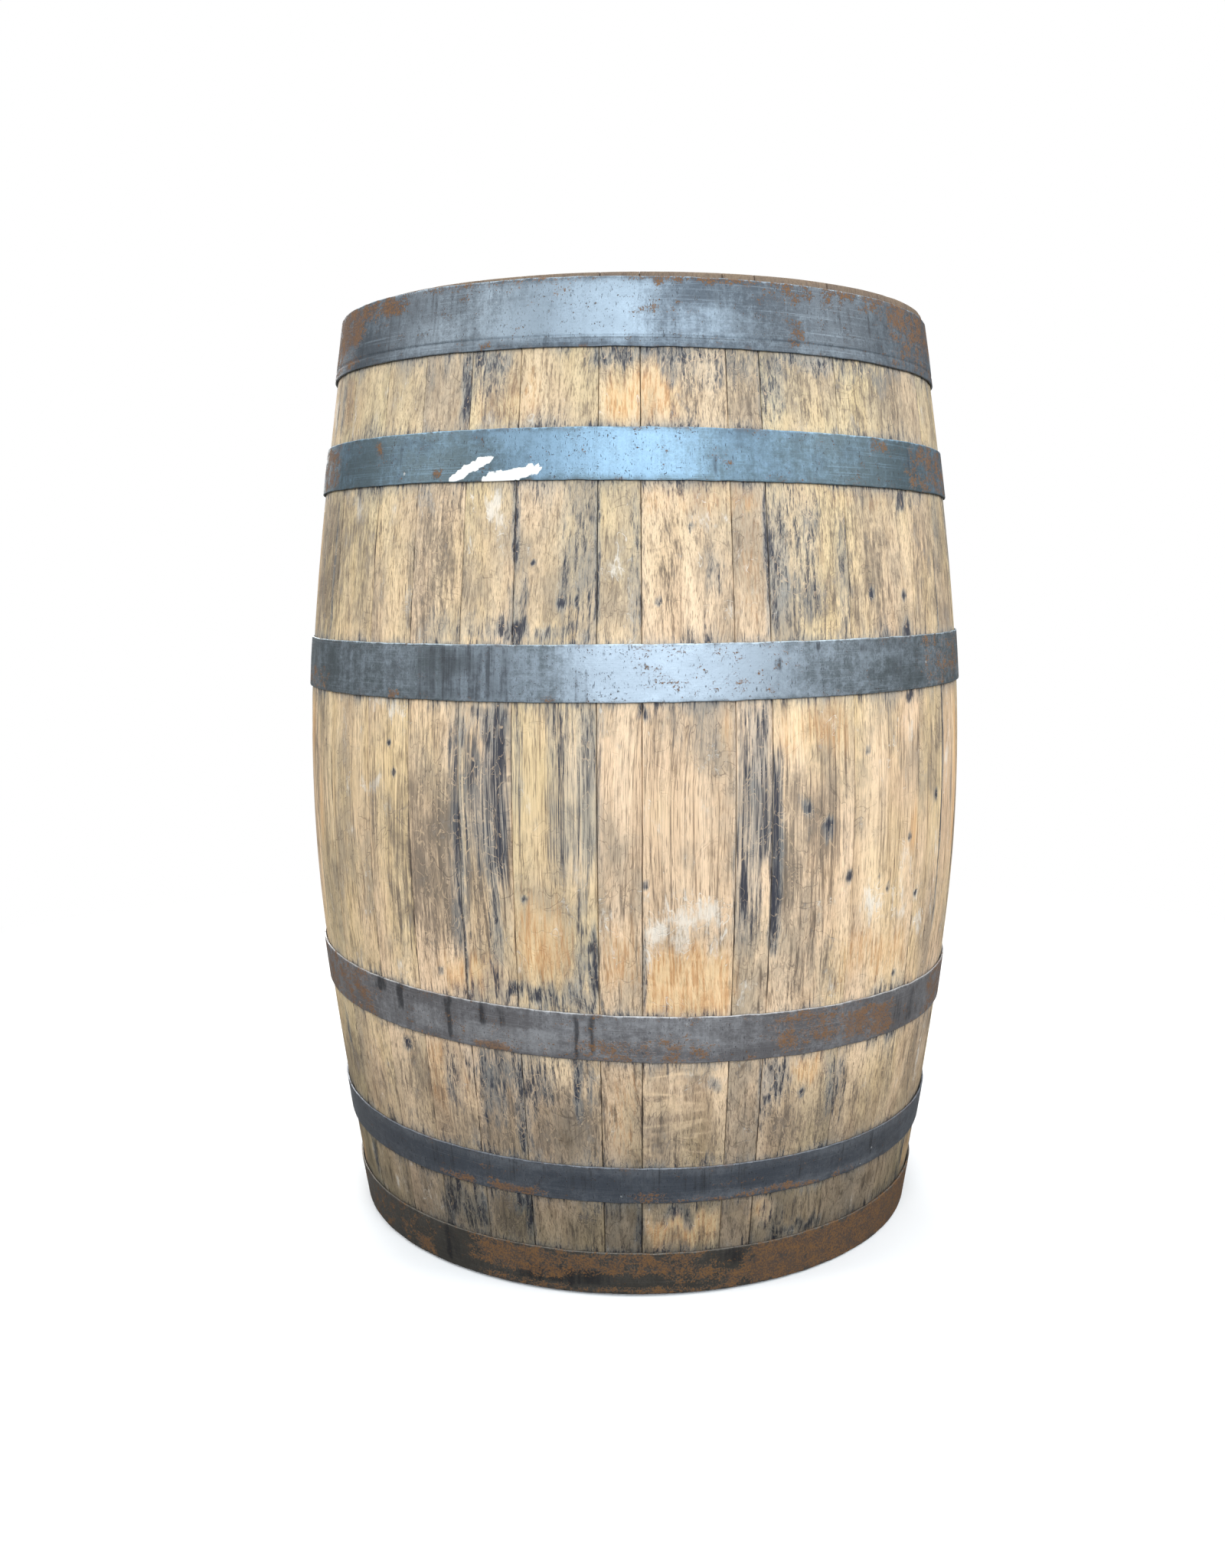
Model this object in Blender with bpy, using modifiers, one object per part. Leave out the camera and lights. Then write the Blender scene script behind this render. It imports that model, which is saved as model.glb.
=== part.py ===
"""Oak barrel of bent staves, held by six riveted steel hoops and closed by two boarded heads.

Units are metres, +Z is up, and the origin is the centre of the ring of stave ends that the barrel
stands on. The front of the barrel faces -Y. The bung is at the back, at +Y, halfway up.
A bearing is an angle about the barrel's axis, in degrees: 0 at the front, 90 at +X, 180 at the back.
"""

import math

import bmesh
import bpy
from mathutils import Matrix, Vector

# The barrel's body
HEIGHT = 0.890
BILGE_RADIUS = 0.333          # outside, halfway up
END_RADIUS = 0.287            # outside, at either end
BILGE_ROUNDNESS = 0.572       # 0 gives two straight cones, large values a circular arc
STAVE_THICKNESS = 0.026
STAVE_GAP = 0.0003            # between neighbouring staves, at the barrel's narrow ends
STAVE_STATIONS = 12           # points along a stave's outer curve
FACET_ANGLE = 9.0             # widest facet across a stave, in degrees

# The staves' ends
CHIME_WIDTH = 0.014           # the flat end face, from its outer edge to its inner one
CHIME_CHAMFER = 0.002
CHIME_BEVEL_DEPTH = 0.026     # how far in the bevel inside the end runs
CROZE_CENTRE = 0.0368         # the groove that holds the head, measured from the end
CROZE_WIDTH = 0.0056
CROZE_DEPTH = 0.005

# Stave widths in degrees, one after another from FIRST_SEAM
FIRST_SEAM = -68.0
FRONT_STAVES = (9.4, 12.6, 9.6, 9.6, 8.8, 12.7, 6.5, 13.7, 5.7, 14.6, 16.3)
RIGHT_STAVES = (9.5, 12.0, 13.5, 9.0, 14.0, 11.0, 15.5, 8.5, 13.5, 14.0)
BUNG_STAVE = (16.0,)
LEFT_STAVES = (11.0, 14.5, 9.5, 12.5, 7.0, 15.0, 11.5, 13.0, 10.0)

# Hoops: name, upper and lower edge at the front, and lean (its right side is lower where negative)
HOOPS = (
    ("upper_chime_hoop", 0.8858, 0.8288, -0.013),
    ("upper_quarter_hoop", 0.7643, 0.7212, -0.011),
    ("upper_bilge_hoop", 0.5887, 0.5409, 0.006),
    ("lower_bilge_hoop", 0.2730, 0.2305, -0.032),
    ("lower_quarter_hoop", 0.1294, 0.0948, -0.013),
    ("lower_chime_hoop", 0.0440, 0.0020, -0.003),
)
HOOP_THICKNESS = 0.0016
HOOP_CLEARANCE = 0.0008       # strip to the staves' true curve
HOOP_STEPS = 72               # facets in one turn
LAP_STEPS = 2                 # facets in the riveted overlap
LAP_GAP = 0.0003
LAP_BEARINGS = (184.0, 178.0, 181.0, 177.0, 183.0, 179.0)

# Rivets
SHANK_RADIUS = 0.0026
HOLE_RADIUS = 0.0030
RIVET_HEAD_RADIUS = 0.0070
RIVET_HEAD_HEIGHT = 0.0032
RIVET_SIDES = 12

# Heads
BOARD_WIDTHS = (0.097, 0.118, 0.112, 0.121, 0.101)
HEAD_THICKNESS = 0.022
RIM_THICKNESS = 0.0050
RIM_CLEARANCE = 0.0010        # rim to the bottom of its groove
BEVEL_LENGTH = 0.022
TONGUE_WIDTH = 0.007
TONGUE_LENGTH = 0.006
BOARD_GAP = 0.0003
HEAD_SIDES = 60

# Bung
BUNG_HEIGHT = HEIGHT / 2
HOLE_OUTER_RADIUS = 0.0262
HOLE_INNER_RADIUS = 0.0246
BUNG_CLEARANCE = 0.0003
BUNG_PROUD = 0.004
BUNG_SIDES = 32

OAK_TONES = ((0.42, 0.30, 0.16), (0.47, 0.35, 0.20), (0.37, 0.27, 0.15), (0.44, 0.34, 0.21))
DARK_STEEL = (0.10, 0.115, 0.135)
RUSTY_STEEL = (0.16, 0.085, 0.045)
POPLAR = (0.50, 0.38, 0.23)


def clear_scene():
    for old in list(bpy.data.objects):
        bpy.data.objects.remove(old, do_unlink=True)


def new_collection(name):
    collection = bpy.data.collections.new(name)
    bpy.context.scene.collection.children.link(collection)
    return collection


def new_object(name, mesh_or_none, collection, parent=None):
    made = bpy.data.objects.new(name, mesh_or_none)
    collection.objects.link(made)
    made.parent = parent
    return made


def mesh_from(builder, name):
    """Turn a bmesh into a mesh with its faces pointing out."""
    bmesh.ops.recalc_face_normals(builder, faces=builder.faces)
    mesh = bpy.data.meshes.new(name)
    builder.to_mesh(mesh)
    builder.free()
    return mesh


def give_material(target, colour, roughness, metallic):
    material = bpy.data.materials.new(target.name)
    material.use_nodes = True
    shader = material.node_tree.nodes["Principled BSDF"]
    shader.inputs["Base Color"].default_value = (*colour, 1.0)
    shader.inputs["Roughness"].default_value = roughness
    shader.inputs["Metallic"].default_value = metallic
    material.diffuse_color = (*colour, 1.0)
    target.data.materials.clear()
    target.data.materials.append(material)


def shade(target, sharp_angle=30.0):
    target.data.shade_smooth()
    target.data.set_sharp_from_angle(angle=math.radians(sharp_angle))


def cut(target, cutter):
    """Subtract a cutter, which stays in the scene as a wire guide."""
    cutter.hide_render = True
    cutter.display_type = "WIRE"
    modifier = target.modifiers.new("cut_" + cutter.name, "BOOLEAN")
    modifier.operation = "DIFFERENCE"
    modifier.solver = "EXACT"
    modifier.object = cutter


def outer_radius(height):
    """The barrel's outline: a hyperbola, straight towards the ends and rounded at the bilge."""
    along = abs(2.0 * height / HEIGHT - 1.0)
    rise = math.hypot(along, BILGE_ROUNDNESS) - BILGE_ROUNDNESS
    full_rise = math.hypot(1.0, BILGE_ROUNDNESS) - BILGE_ROUNDNESS
    return BILGE_RADIUS - (BILGE_RADIUS - END_RADIUS) * rise / full_rise


def inner_radius(height):
    return outer_radius(height) - STAVE_THICKNESS


def on_barrel(bearing, radius, height):
    turn = math.radians(bearing)
    return Vector((radius * math.sin(turn), -radius * math.cos(turn), height))


# ---------------------------------------------------------------------------------------------
# Staves
# ---------------------------------------------------------------------------------------------

def stave_end_profile():
    """One end of a stave, as (radius, distance from the end), from outside to inside."""
    groove_start = CROZE_CENTRE - CROZE_WIDTH / 2
    groove_end = CROZE_CENTRE + CROZE_WIDTH / 2
    groove_floor = inner_radius(CROZE_CENTRE) + CROZE_DEPTH
    return [
        (outer_radius(CHIME_CHAMFER), CHIME_CHAMFER),
        (END_RADIUS - CHIME_CHAMFER, 0.0),
        (END_RADIUS - CHIME_WIDTH, 0.0),
        (inner_radius(CHIME_BEVEL_DEPTH), CHIME_BEVEL_DEPTH),
        (inner_radius(groove_start), groove_start),
        (groove_floor, groove_start),
        (groove_floor, groove_end),
        (inner_radius(groove_end), groove_end),
    ]


def stave_section():
    """A stave cut lengthwise: up the outside, over the top end, down the inside, round the foot."""
    bottom = stave_end_profile()
    top = [(radius, HEIGHT - depth) for radius, depth in bottom]
    outside_heights = [HEIGHT * step / (STAVE_STATIONS - 1) for step in range(1, STAVE_STATIONS - 1)]
    inside_heights = outside_heights[1:-1:2]
    outside = [(outer_radius(height), height) for height in outside_heights]
    inside = [(inner_radius(height), height) for height in reversed(inside_heights)]
    return outside + top + inside + list(reversed(bottom))


def make_stave(name, first_bearing, width, collection, parent):
    """Turn the lengthwise section about the barrel's axis through the stave's own width."""
    gap = STAVE_GAP / (END_RADIUS - STAVE_THICKNESS)
    builder = bmesh.new()
    corners = [builder.verts.new((radius, 0.0, height)) for radius, height in stave_section()]
    section = builder.faces.new(corners)
    steps = math.ceil(width / FACET_ANGLE)
    bmesh.ops.spin(builder, geom=[section, *section.edges, *section.verts], cent=(0, 0, 0),
                   axis=(0, 0, 1), angle=math.radians(width) - gap, steps=steps)
    stave = new_object(name, mesh_from(builder, name), collection, parent)
    stave.rotation_euler.z = math.radians(first_bearing - 90.0) + gap / 2
    return stave


def make_staves(collection, cutters, parent):
    widths = FRONT_STAVES + RIGHT_STAVES + BUNG_STAVE + LEFT_STAVES
    bung_index = len(FRONT_STAVES) + len(RIGHT_STAVES)
    bearing = FIRST_SEAM
    for index, width in enumerate(widths):
        name = "bung_stave" if index == bung_index else f"stave_{index + 1:02d}"
        stave = make_stave(name, bearing, width, collection, parent)
        if index == bung_index:
            cut(stave, make_bung_hole_cutter(cutters, parent))
        give_material(stave, OAK_TONES[index % len(OAK_TONES)], 0.75, 0.0)
        shade(stave)
        bearing += width


# ---------------------------------------------------------------------------------------------
# Hoops and their rivets
# ---------------------------------------------------------------------------------------------

def hoop_height(height, lean, bearing):
    """Height of a hoop's edge at a bearing, on a plane that leans sideways."""
    return height + lean * outer_radius(height) * math.sin(math.radians(bearing))


def hoop_column_bearing(lap_bearing, column):
    step = 360.0 / HOOP_STEPS
    return lap_bearing + (column - LAP_STEPS / 2) * step


def make_hoop(name, upper, lower, lean, lap_bearing, collection, parent):
    """A steel strip once round the barrel, whose end climbs onto its beginning for the lap."""
    columns = HOOP_STEPS + LAP_STEPS
    builder = bmesh.new()
    bmesh.ops.create_grid(builder, x_segments=columns, y_segments=1, size=1.0)
    for vert in builder.verts:
        column = round((vert.co.x + 1.0) / 2.0 * columns)
        bearing = hoop_column_bearing(lap_bearing, column)
        height = hoop_height(upper if vert.co.y > 0 else lower, lean, bearing)
        climb = HOOP_THICKNESS + LAP_GAP if column >= HOOP_STEPS else 0.0
        vert.co = on_barrel(bearing, outer_radius(height) + HOOP_CLEARANCE + climb, height)
    mesh = bpy.data.meshes.new(name)
    builder.to_mesh(mesh)
    builder.free()
    hoop = new_object(name, mesh, collection, parent)
    strip = hoop.modifiers.new("strip_thickness", "SOLIDIFY")
    strip.thickness = HOOP_THICKNESS
    strip.offset = 1.0
    return hoop


def strip_frame(upper, lower, lean, bearing):
    """A frame on the lap's inner face, halfway up the strip, with Z pointing out through it."""
    high = hoop_height(upper, lean, bearing)
    low = hoop_height(lower, lean, bearing)
    flat = math.cos(math.radians(180.0 / HOOP_STEPS))
    top = on_barrel(bearing, (outer_radius(high) + HOOP_CLEARANCE) * flat, high)
    foot = on_barrel(bearing, (outer_radius(low) + HOOP_CLEARANCE) * flat, low)
    up = (top - foot).normalized()
    across = on_barrel(bearing + 90.0, 1.0, 0.0)
    outward = across.cross(up)
    frame = Matrix((across, up, outward)).transposed().to_4x4()
    frame.translation = (top + foot) / 2
    return frame


def turned(name, profile, sides, collection, parent):
    """Turn an open outline of (radius, height) points about Z with a Screw modifier."""
    mesh = bpy.data.meshes.new(name)
    edges = [(index, index + 1) for index in range(len(profile) - 1)]
    mesh.from_pydata([(radius, 0.0, height) for radius, height in profile], edges, [])
    made = new_object(name, mesh, collection, parent)
    screw = made.modifiers.new("turn", "SCREW")
    screw.axis = "Z"
    screw.angle = math.tau
    screw.steps = sides
    screw.render_steps = sides
    screw.use_merge_vertices = True
    screw.merge_threshold = 0.00005
    screw.use_smooth_shade = True
    return made


def rivet_profile():
    """A round head over a plain shank, from the top of the dome down to the tail."""
    seat = 2 * HOOP_THICKNESS + 2 * LAP_GAP
    dome = []
    for step in range(4):
        turn = math.radians(90.0 * step / 4)
        dome.append((RIVET_HEAD_RADIUS * math.sin(turn), seat + RIVET_HEAD_HEIGHT * math.cos(turn)))
    return dome + [(RIVET_HEAD_RADIUS, seat), (SHANK_RADIUS, seat), (SHANK_RADIUS, 0.0), (0.0, 0.0)]


def make_rivet(name, frame, colour, collection, parent):
    rivet = turned(name, rivet_profile(), RIVET_SIDES, collection, parent)
    rivet.matrix_world = frame
    give_material(rivet, colour, 0.55, 0.8)


def make_rivet_hole_cutter(name, frame, cutters, parent):
    """A straight pin, long enough to pass through both layers of the lap."""
    builder = bmesh.new()
    bmesh.ops.create_cone(builder, cap_ends=True, segments=RIVET_SIDES, radius1=HOLE_RADIUS,
                          radius2=HOLE_RADIUS, depth=8 * HOOP_THICKNESS)
    cutter = new_object(name, mesh_from(builder, name), cutters, parent)
    cutter.matrix_world = frame
    return cutter


def make_hoops(collection, cutters, parent):
    for (name, upper, lower, lean), lap_bearing in zip(HOOPS, LAP_BEARINGS):
        colour = RUSTY_STEEL if name == "lower_chime_hoop" else DARK_STEEL
        hoop = make_hoop(name, upper, lower, lean, lap_bearing, collection, parent)
        for number, column in enumerate((0.5, LAP_STEPS - 0.5), start=1):
            bearing = hoop_column_bearing(lap_bearing, column)
            frame = strip_frame(upper, lower, lean, bearing)
            cut(hoop, make_rivet_hole_cutter(f"{name}_hole_{number}", frame, cutters, parent))
            make_rivet(f"{name}_rivet_{number}", frame, colour, collection, parent)
        give_material(hoop, colour, 0.5, 0.8)
        shade(hoop)


# ---------------------------------------------------------------------------------------------
# Heads
# ---------------------------------------------------------------------------------------------

def head_radius():
    return inner_radius(CROZE_CENTRE) + CROZE_DEPTH - RIM_CLEARANCE


def head_disc_profile():
    """A disc with a thin rim for the groove and a bevel on both faces, centred on its rim."""
    rim = head_radius()
    neck = inner_radius(0.0) - RIM_CLEARANCE
    half_rim = RIM_THICKNESS / 2
    half = HEAD_THICKNESS / 2
    return [
        (0.0, half),
        (neck - BEVEL_LENGTH, half),
        (neck, half_rim),
        (rim, half_rim),
        (rim, -half_rim),
        (neck, -half_rim),
        (neck - BEVEL_LENGTH, -half),
        (0.0, -half),
    ]


def board_section(left, right, has_groove, has_tongue):
    """A board's cross-section in (x, z), with a groove on its left edge and a tongue on its right."""
    half = HEAD_THICKNESS
    slot = TONGUE_WIDTH / 2 + BOARD_GAP
    tongue = TONGUE_WIDTH / 2
    outline = [(left, half), (left, -half), (right, -half), (right, half)]
    if has_tongue:
        outline[3:3] = [(right, -tongue), (right + TONGUE_LENGTH, -tongue),
                        (right + TONGUE_LENGTH, tongue), (right, tongue)]
    if has_groove:
        depth = left + TONGUE_LENGTH + 2 * BOARD_GAP
        outline[1:1] = [(left, slot), (depth, slot), (depth, -slot), (left, -slot)]
    return outline


def make_board_blank(name, outline, collection, parent):
    """Extrude a board's cross-section lengthwise, past the head's rim at both ends."""
    reach = END_RADIUS
    builder = bmesh.new()
    corners = [builder.verts.new((x, -reach, z)) for x, z in outline]
    section = builder.faces.new(corners)
    swept = bmesh.ops.extrude_face_region(builder, geom=[section], use_keep_orig=True)
    moved = [item for item in swept["geom"] if isinstance(item, bmesh.types.BMVert)]
    bmesh.ops.translate(builder, verts=moved, vec=(0.0, 2 * reach, 0.0))
    return new_object(name, mesh_from(builder, name), collection, parent)


def make_head(prefix, height, collection, cutters, parent):
    """Boards with tongue-and-groove edges, each trimmed to the round bevelled head."""
    disc = turned(prefix + "_disc", head_disc_profile(), HEAD_SIDES, cutters, parent)
    disc.location.z = height
    disc.hide_render = True
    disc.display_type = "WIRE"
    start = -sum(BOARD_WIDTHS) / 2
    for number, width in enumerate(BOARD_WIDTHS, start=1):
        first = number == 1
        last = number == len(BOARD_WIDTHS)
        outline = board_section(start + BOARD_GAP / 2, start + width - BOARD_GAP / 2,
                                has_groove=not first, has_tongue=not last)
        board = make_board_blank(f"{prefix}_board_{number}", outline, collection, parent)
        board.location.z = height
        trim = board.modifiers.new("round_and_bevel", "BOOLEAN")
        trim.operation = "INTERSECT"
        trim.solver = "EXACT"
        trim.object = disc
        give_material(board, OAK_TONES[number % len(OAK_TONES)], 0.8, 0.0)
        start += width


# ---------------------------------------------------------------------------------------------
# Bung
# ---------------------------------------------------------------------------------------------

def bung_radius(depth):
    """The hole's taper: its radius at a depth below the stave's outer face."""
    taper = (HOLE_OUTER_RADIUS - HOLE_INNER_RADIUS) / STAVE_THICKNESS
    return HOLE_OUTER_RADIUS - taper * depth


def make_bung_hole_cutter(cutters, parent):
    margin = 0.010
    builder = bmesh.new()
    bmesh.ops.create_cone(builder, cap_ends=True, segments=BUNG_SIDES,
                          radius1=bung_radius(STAVE_THICKNESS + margin), radius2=bung_radius(-margin),
                          depth=STAVE_THICKNESS + 2 * margin)
    cutter = new_object("bung_hole", mesh_from(builder, "bung_hole"), cutters, parent)
    cutter.location = (0.0, BILGE_RADIUS - STAVE_THICKNESS / 2, BUNG_HEIGHT)
    cutter.rotation_euler.x = -math.pi / 2
    return cutter


def make_bung(collection, parent):
    """A tapered wooden plug whose parent empty lies on the axis along which it is pulled."""
    axis = new_object("bung_axis", None, collection, parent)
    axis.location = (0.0, BILGE_RADIUS, BUNG_HEIGHT)
    axis.rotation_euler.x = -math.pi / 2
    chamfer = 0.002
    face = bung_radius(-BUNG_PROUD) - BUNG_CLEARANCE
    tip = bung_radius(STAVE_THICKNESS) - BUNG_CLEARANCE
    profile = [
        (0.0, BUNG_PROUD),
        (face - chamfer, BUNG_PROUD),
        (face, BUNG_PROUD - chamfer),
        (tip, -STAVE_THICKNESS),
        (tip - chamfer, -STAVE_THICKNESS - chamfer),
        (0.0, -STAVE_THICKNESS - chamfer),
    ]
    bung = turned("bung", profile, BUNG_SIDES, collection, axis)
    give_material(bung, POPLAR, 0.8, 0.0)


def main():
    clear_scene()
    barrel = new_collection("oak_barrel")
    cutters = new_collection("oak_barrel_cutters")
    stand = new_object("barrel_axis", None, barrel)
    make_staves(barrel, cutters, stand)
    make_hoops(barrel, cutters, stand)
    make_head("top_head", HEIGHT - CROZE_CENTRE, barrel, cutters, stand)
    make_head("bottom_head", CROZE_CENTRE, barrel, cutters, stand)
    make_bung(barrel, stand)


main()
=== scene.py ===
"""The looks of the oak barrel: weathered staves, rusty steel hoops, boarded heads and the bung."""

import math

import bmesh
import bpy
import numpy as np
from mathutils import Matrix, Vector


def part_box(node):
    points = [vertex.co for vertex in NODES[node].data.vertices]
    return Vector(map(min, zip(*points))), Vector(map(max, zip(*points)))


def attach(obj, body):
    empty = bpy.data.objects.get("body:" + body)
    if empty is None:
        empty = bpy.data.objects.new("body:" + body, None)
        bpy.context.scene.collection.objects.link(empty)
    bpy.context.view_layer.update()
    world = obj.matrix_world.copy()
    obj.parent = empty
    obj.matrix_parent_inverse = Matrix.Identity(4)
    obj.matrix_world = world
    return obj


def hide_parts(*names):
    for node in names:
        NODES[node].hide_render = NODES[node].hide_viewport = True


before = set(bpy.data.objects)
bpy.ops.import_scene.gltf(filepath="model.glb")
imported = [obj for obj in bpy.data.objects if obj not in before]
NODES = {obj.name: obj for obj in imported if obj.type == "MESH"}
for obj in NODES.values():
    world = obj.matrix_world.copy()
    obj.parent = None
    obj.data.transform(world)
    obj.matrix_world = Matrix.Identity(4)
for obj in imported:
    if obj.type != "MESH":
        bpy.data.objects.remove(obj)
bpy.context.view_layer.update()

# ---- Driving dimensions, in metres, the same as the solids' ----

HEIGHT = 0.890
BILGE_RADIUS = 0.333
END_RADIUS = 0.287
BILGE_ROUNDNESS = 0.572
STAVE_THICKNESS = 0.026
CHIME_WIDTH = 0.014
CHIME_ROUNDING = 0.002
CHIME_BEVEL_DEPTH = 0.026
CROZE_CENTRE = 0.0368
CROZE_WIDTH = 0.0056
CROZE_DEPTH = 0.005
HOOP_THICKNESS = 0.0016
HOOP_CLEARANCE = 0.0008
LAP_GAP = 0.0003
LAP_LIFT = HOOP_THICKNESS + LAP_GAP

COLUMN_PITCH = 0.0028         # across a stave's outer face
ROW_PITCH = 0.0060            # along a stave

# ---- Camera, as bearings and sizes about the barrel ----

CAMERA_DISTANCE = 1.4915
CAMERA_HEIGHT = 0.642
CAMERA_PITCH = 8.247          # degrees, looking down
CAMERA_YAW = -0.870
CAMERA_ROLL = -0.300
CAMERA_LENS = 32.56           # millimetres on a 36 mm sensor

# ---- Marks ----

# Marks on the staves, from the top of the barrel down for each kind: from bearing, to bearing,
# from height, to height, strength. Bearings are degrees about the barrel's axis, 0 at the front
# and 90 at +X.


def with_kinds(groups):
    """One list of marks, each with its kind in front."""
    return [(kind, *mark) for kind, marks in groups.items() for mark in marks]


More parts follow.
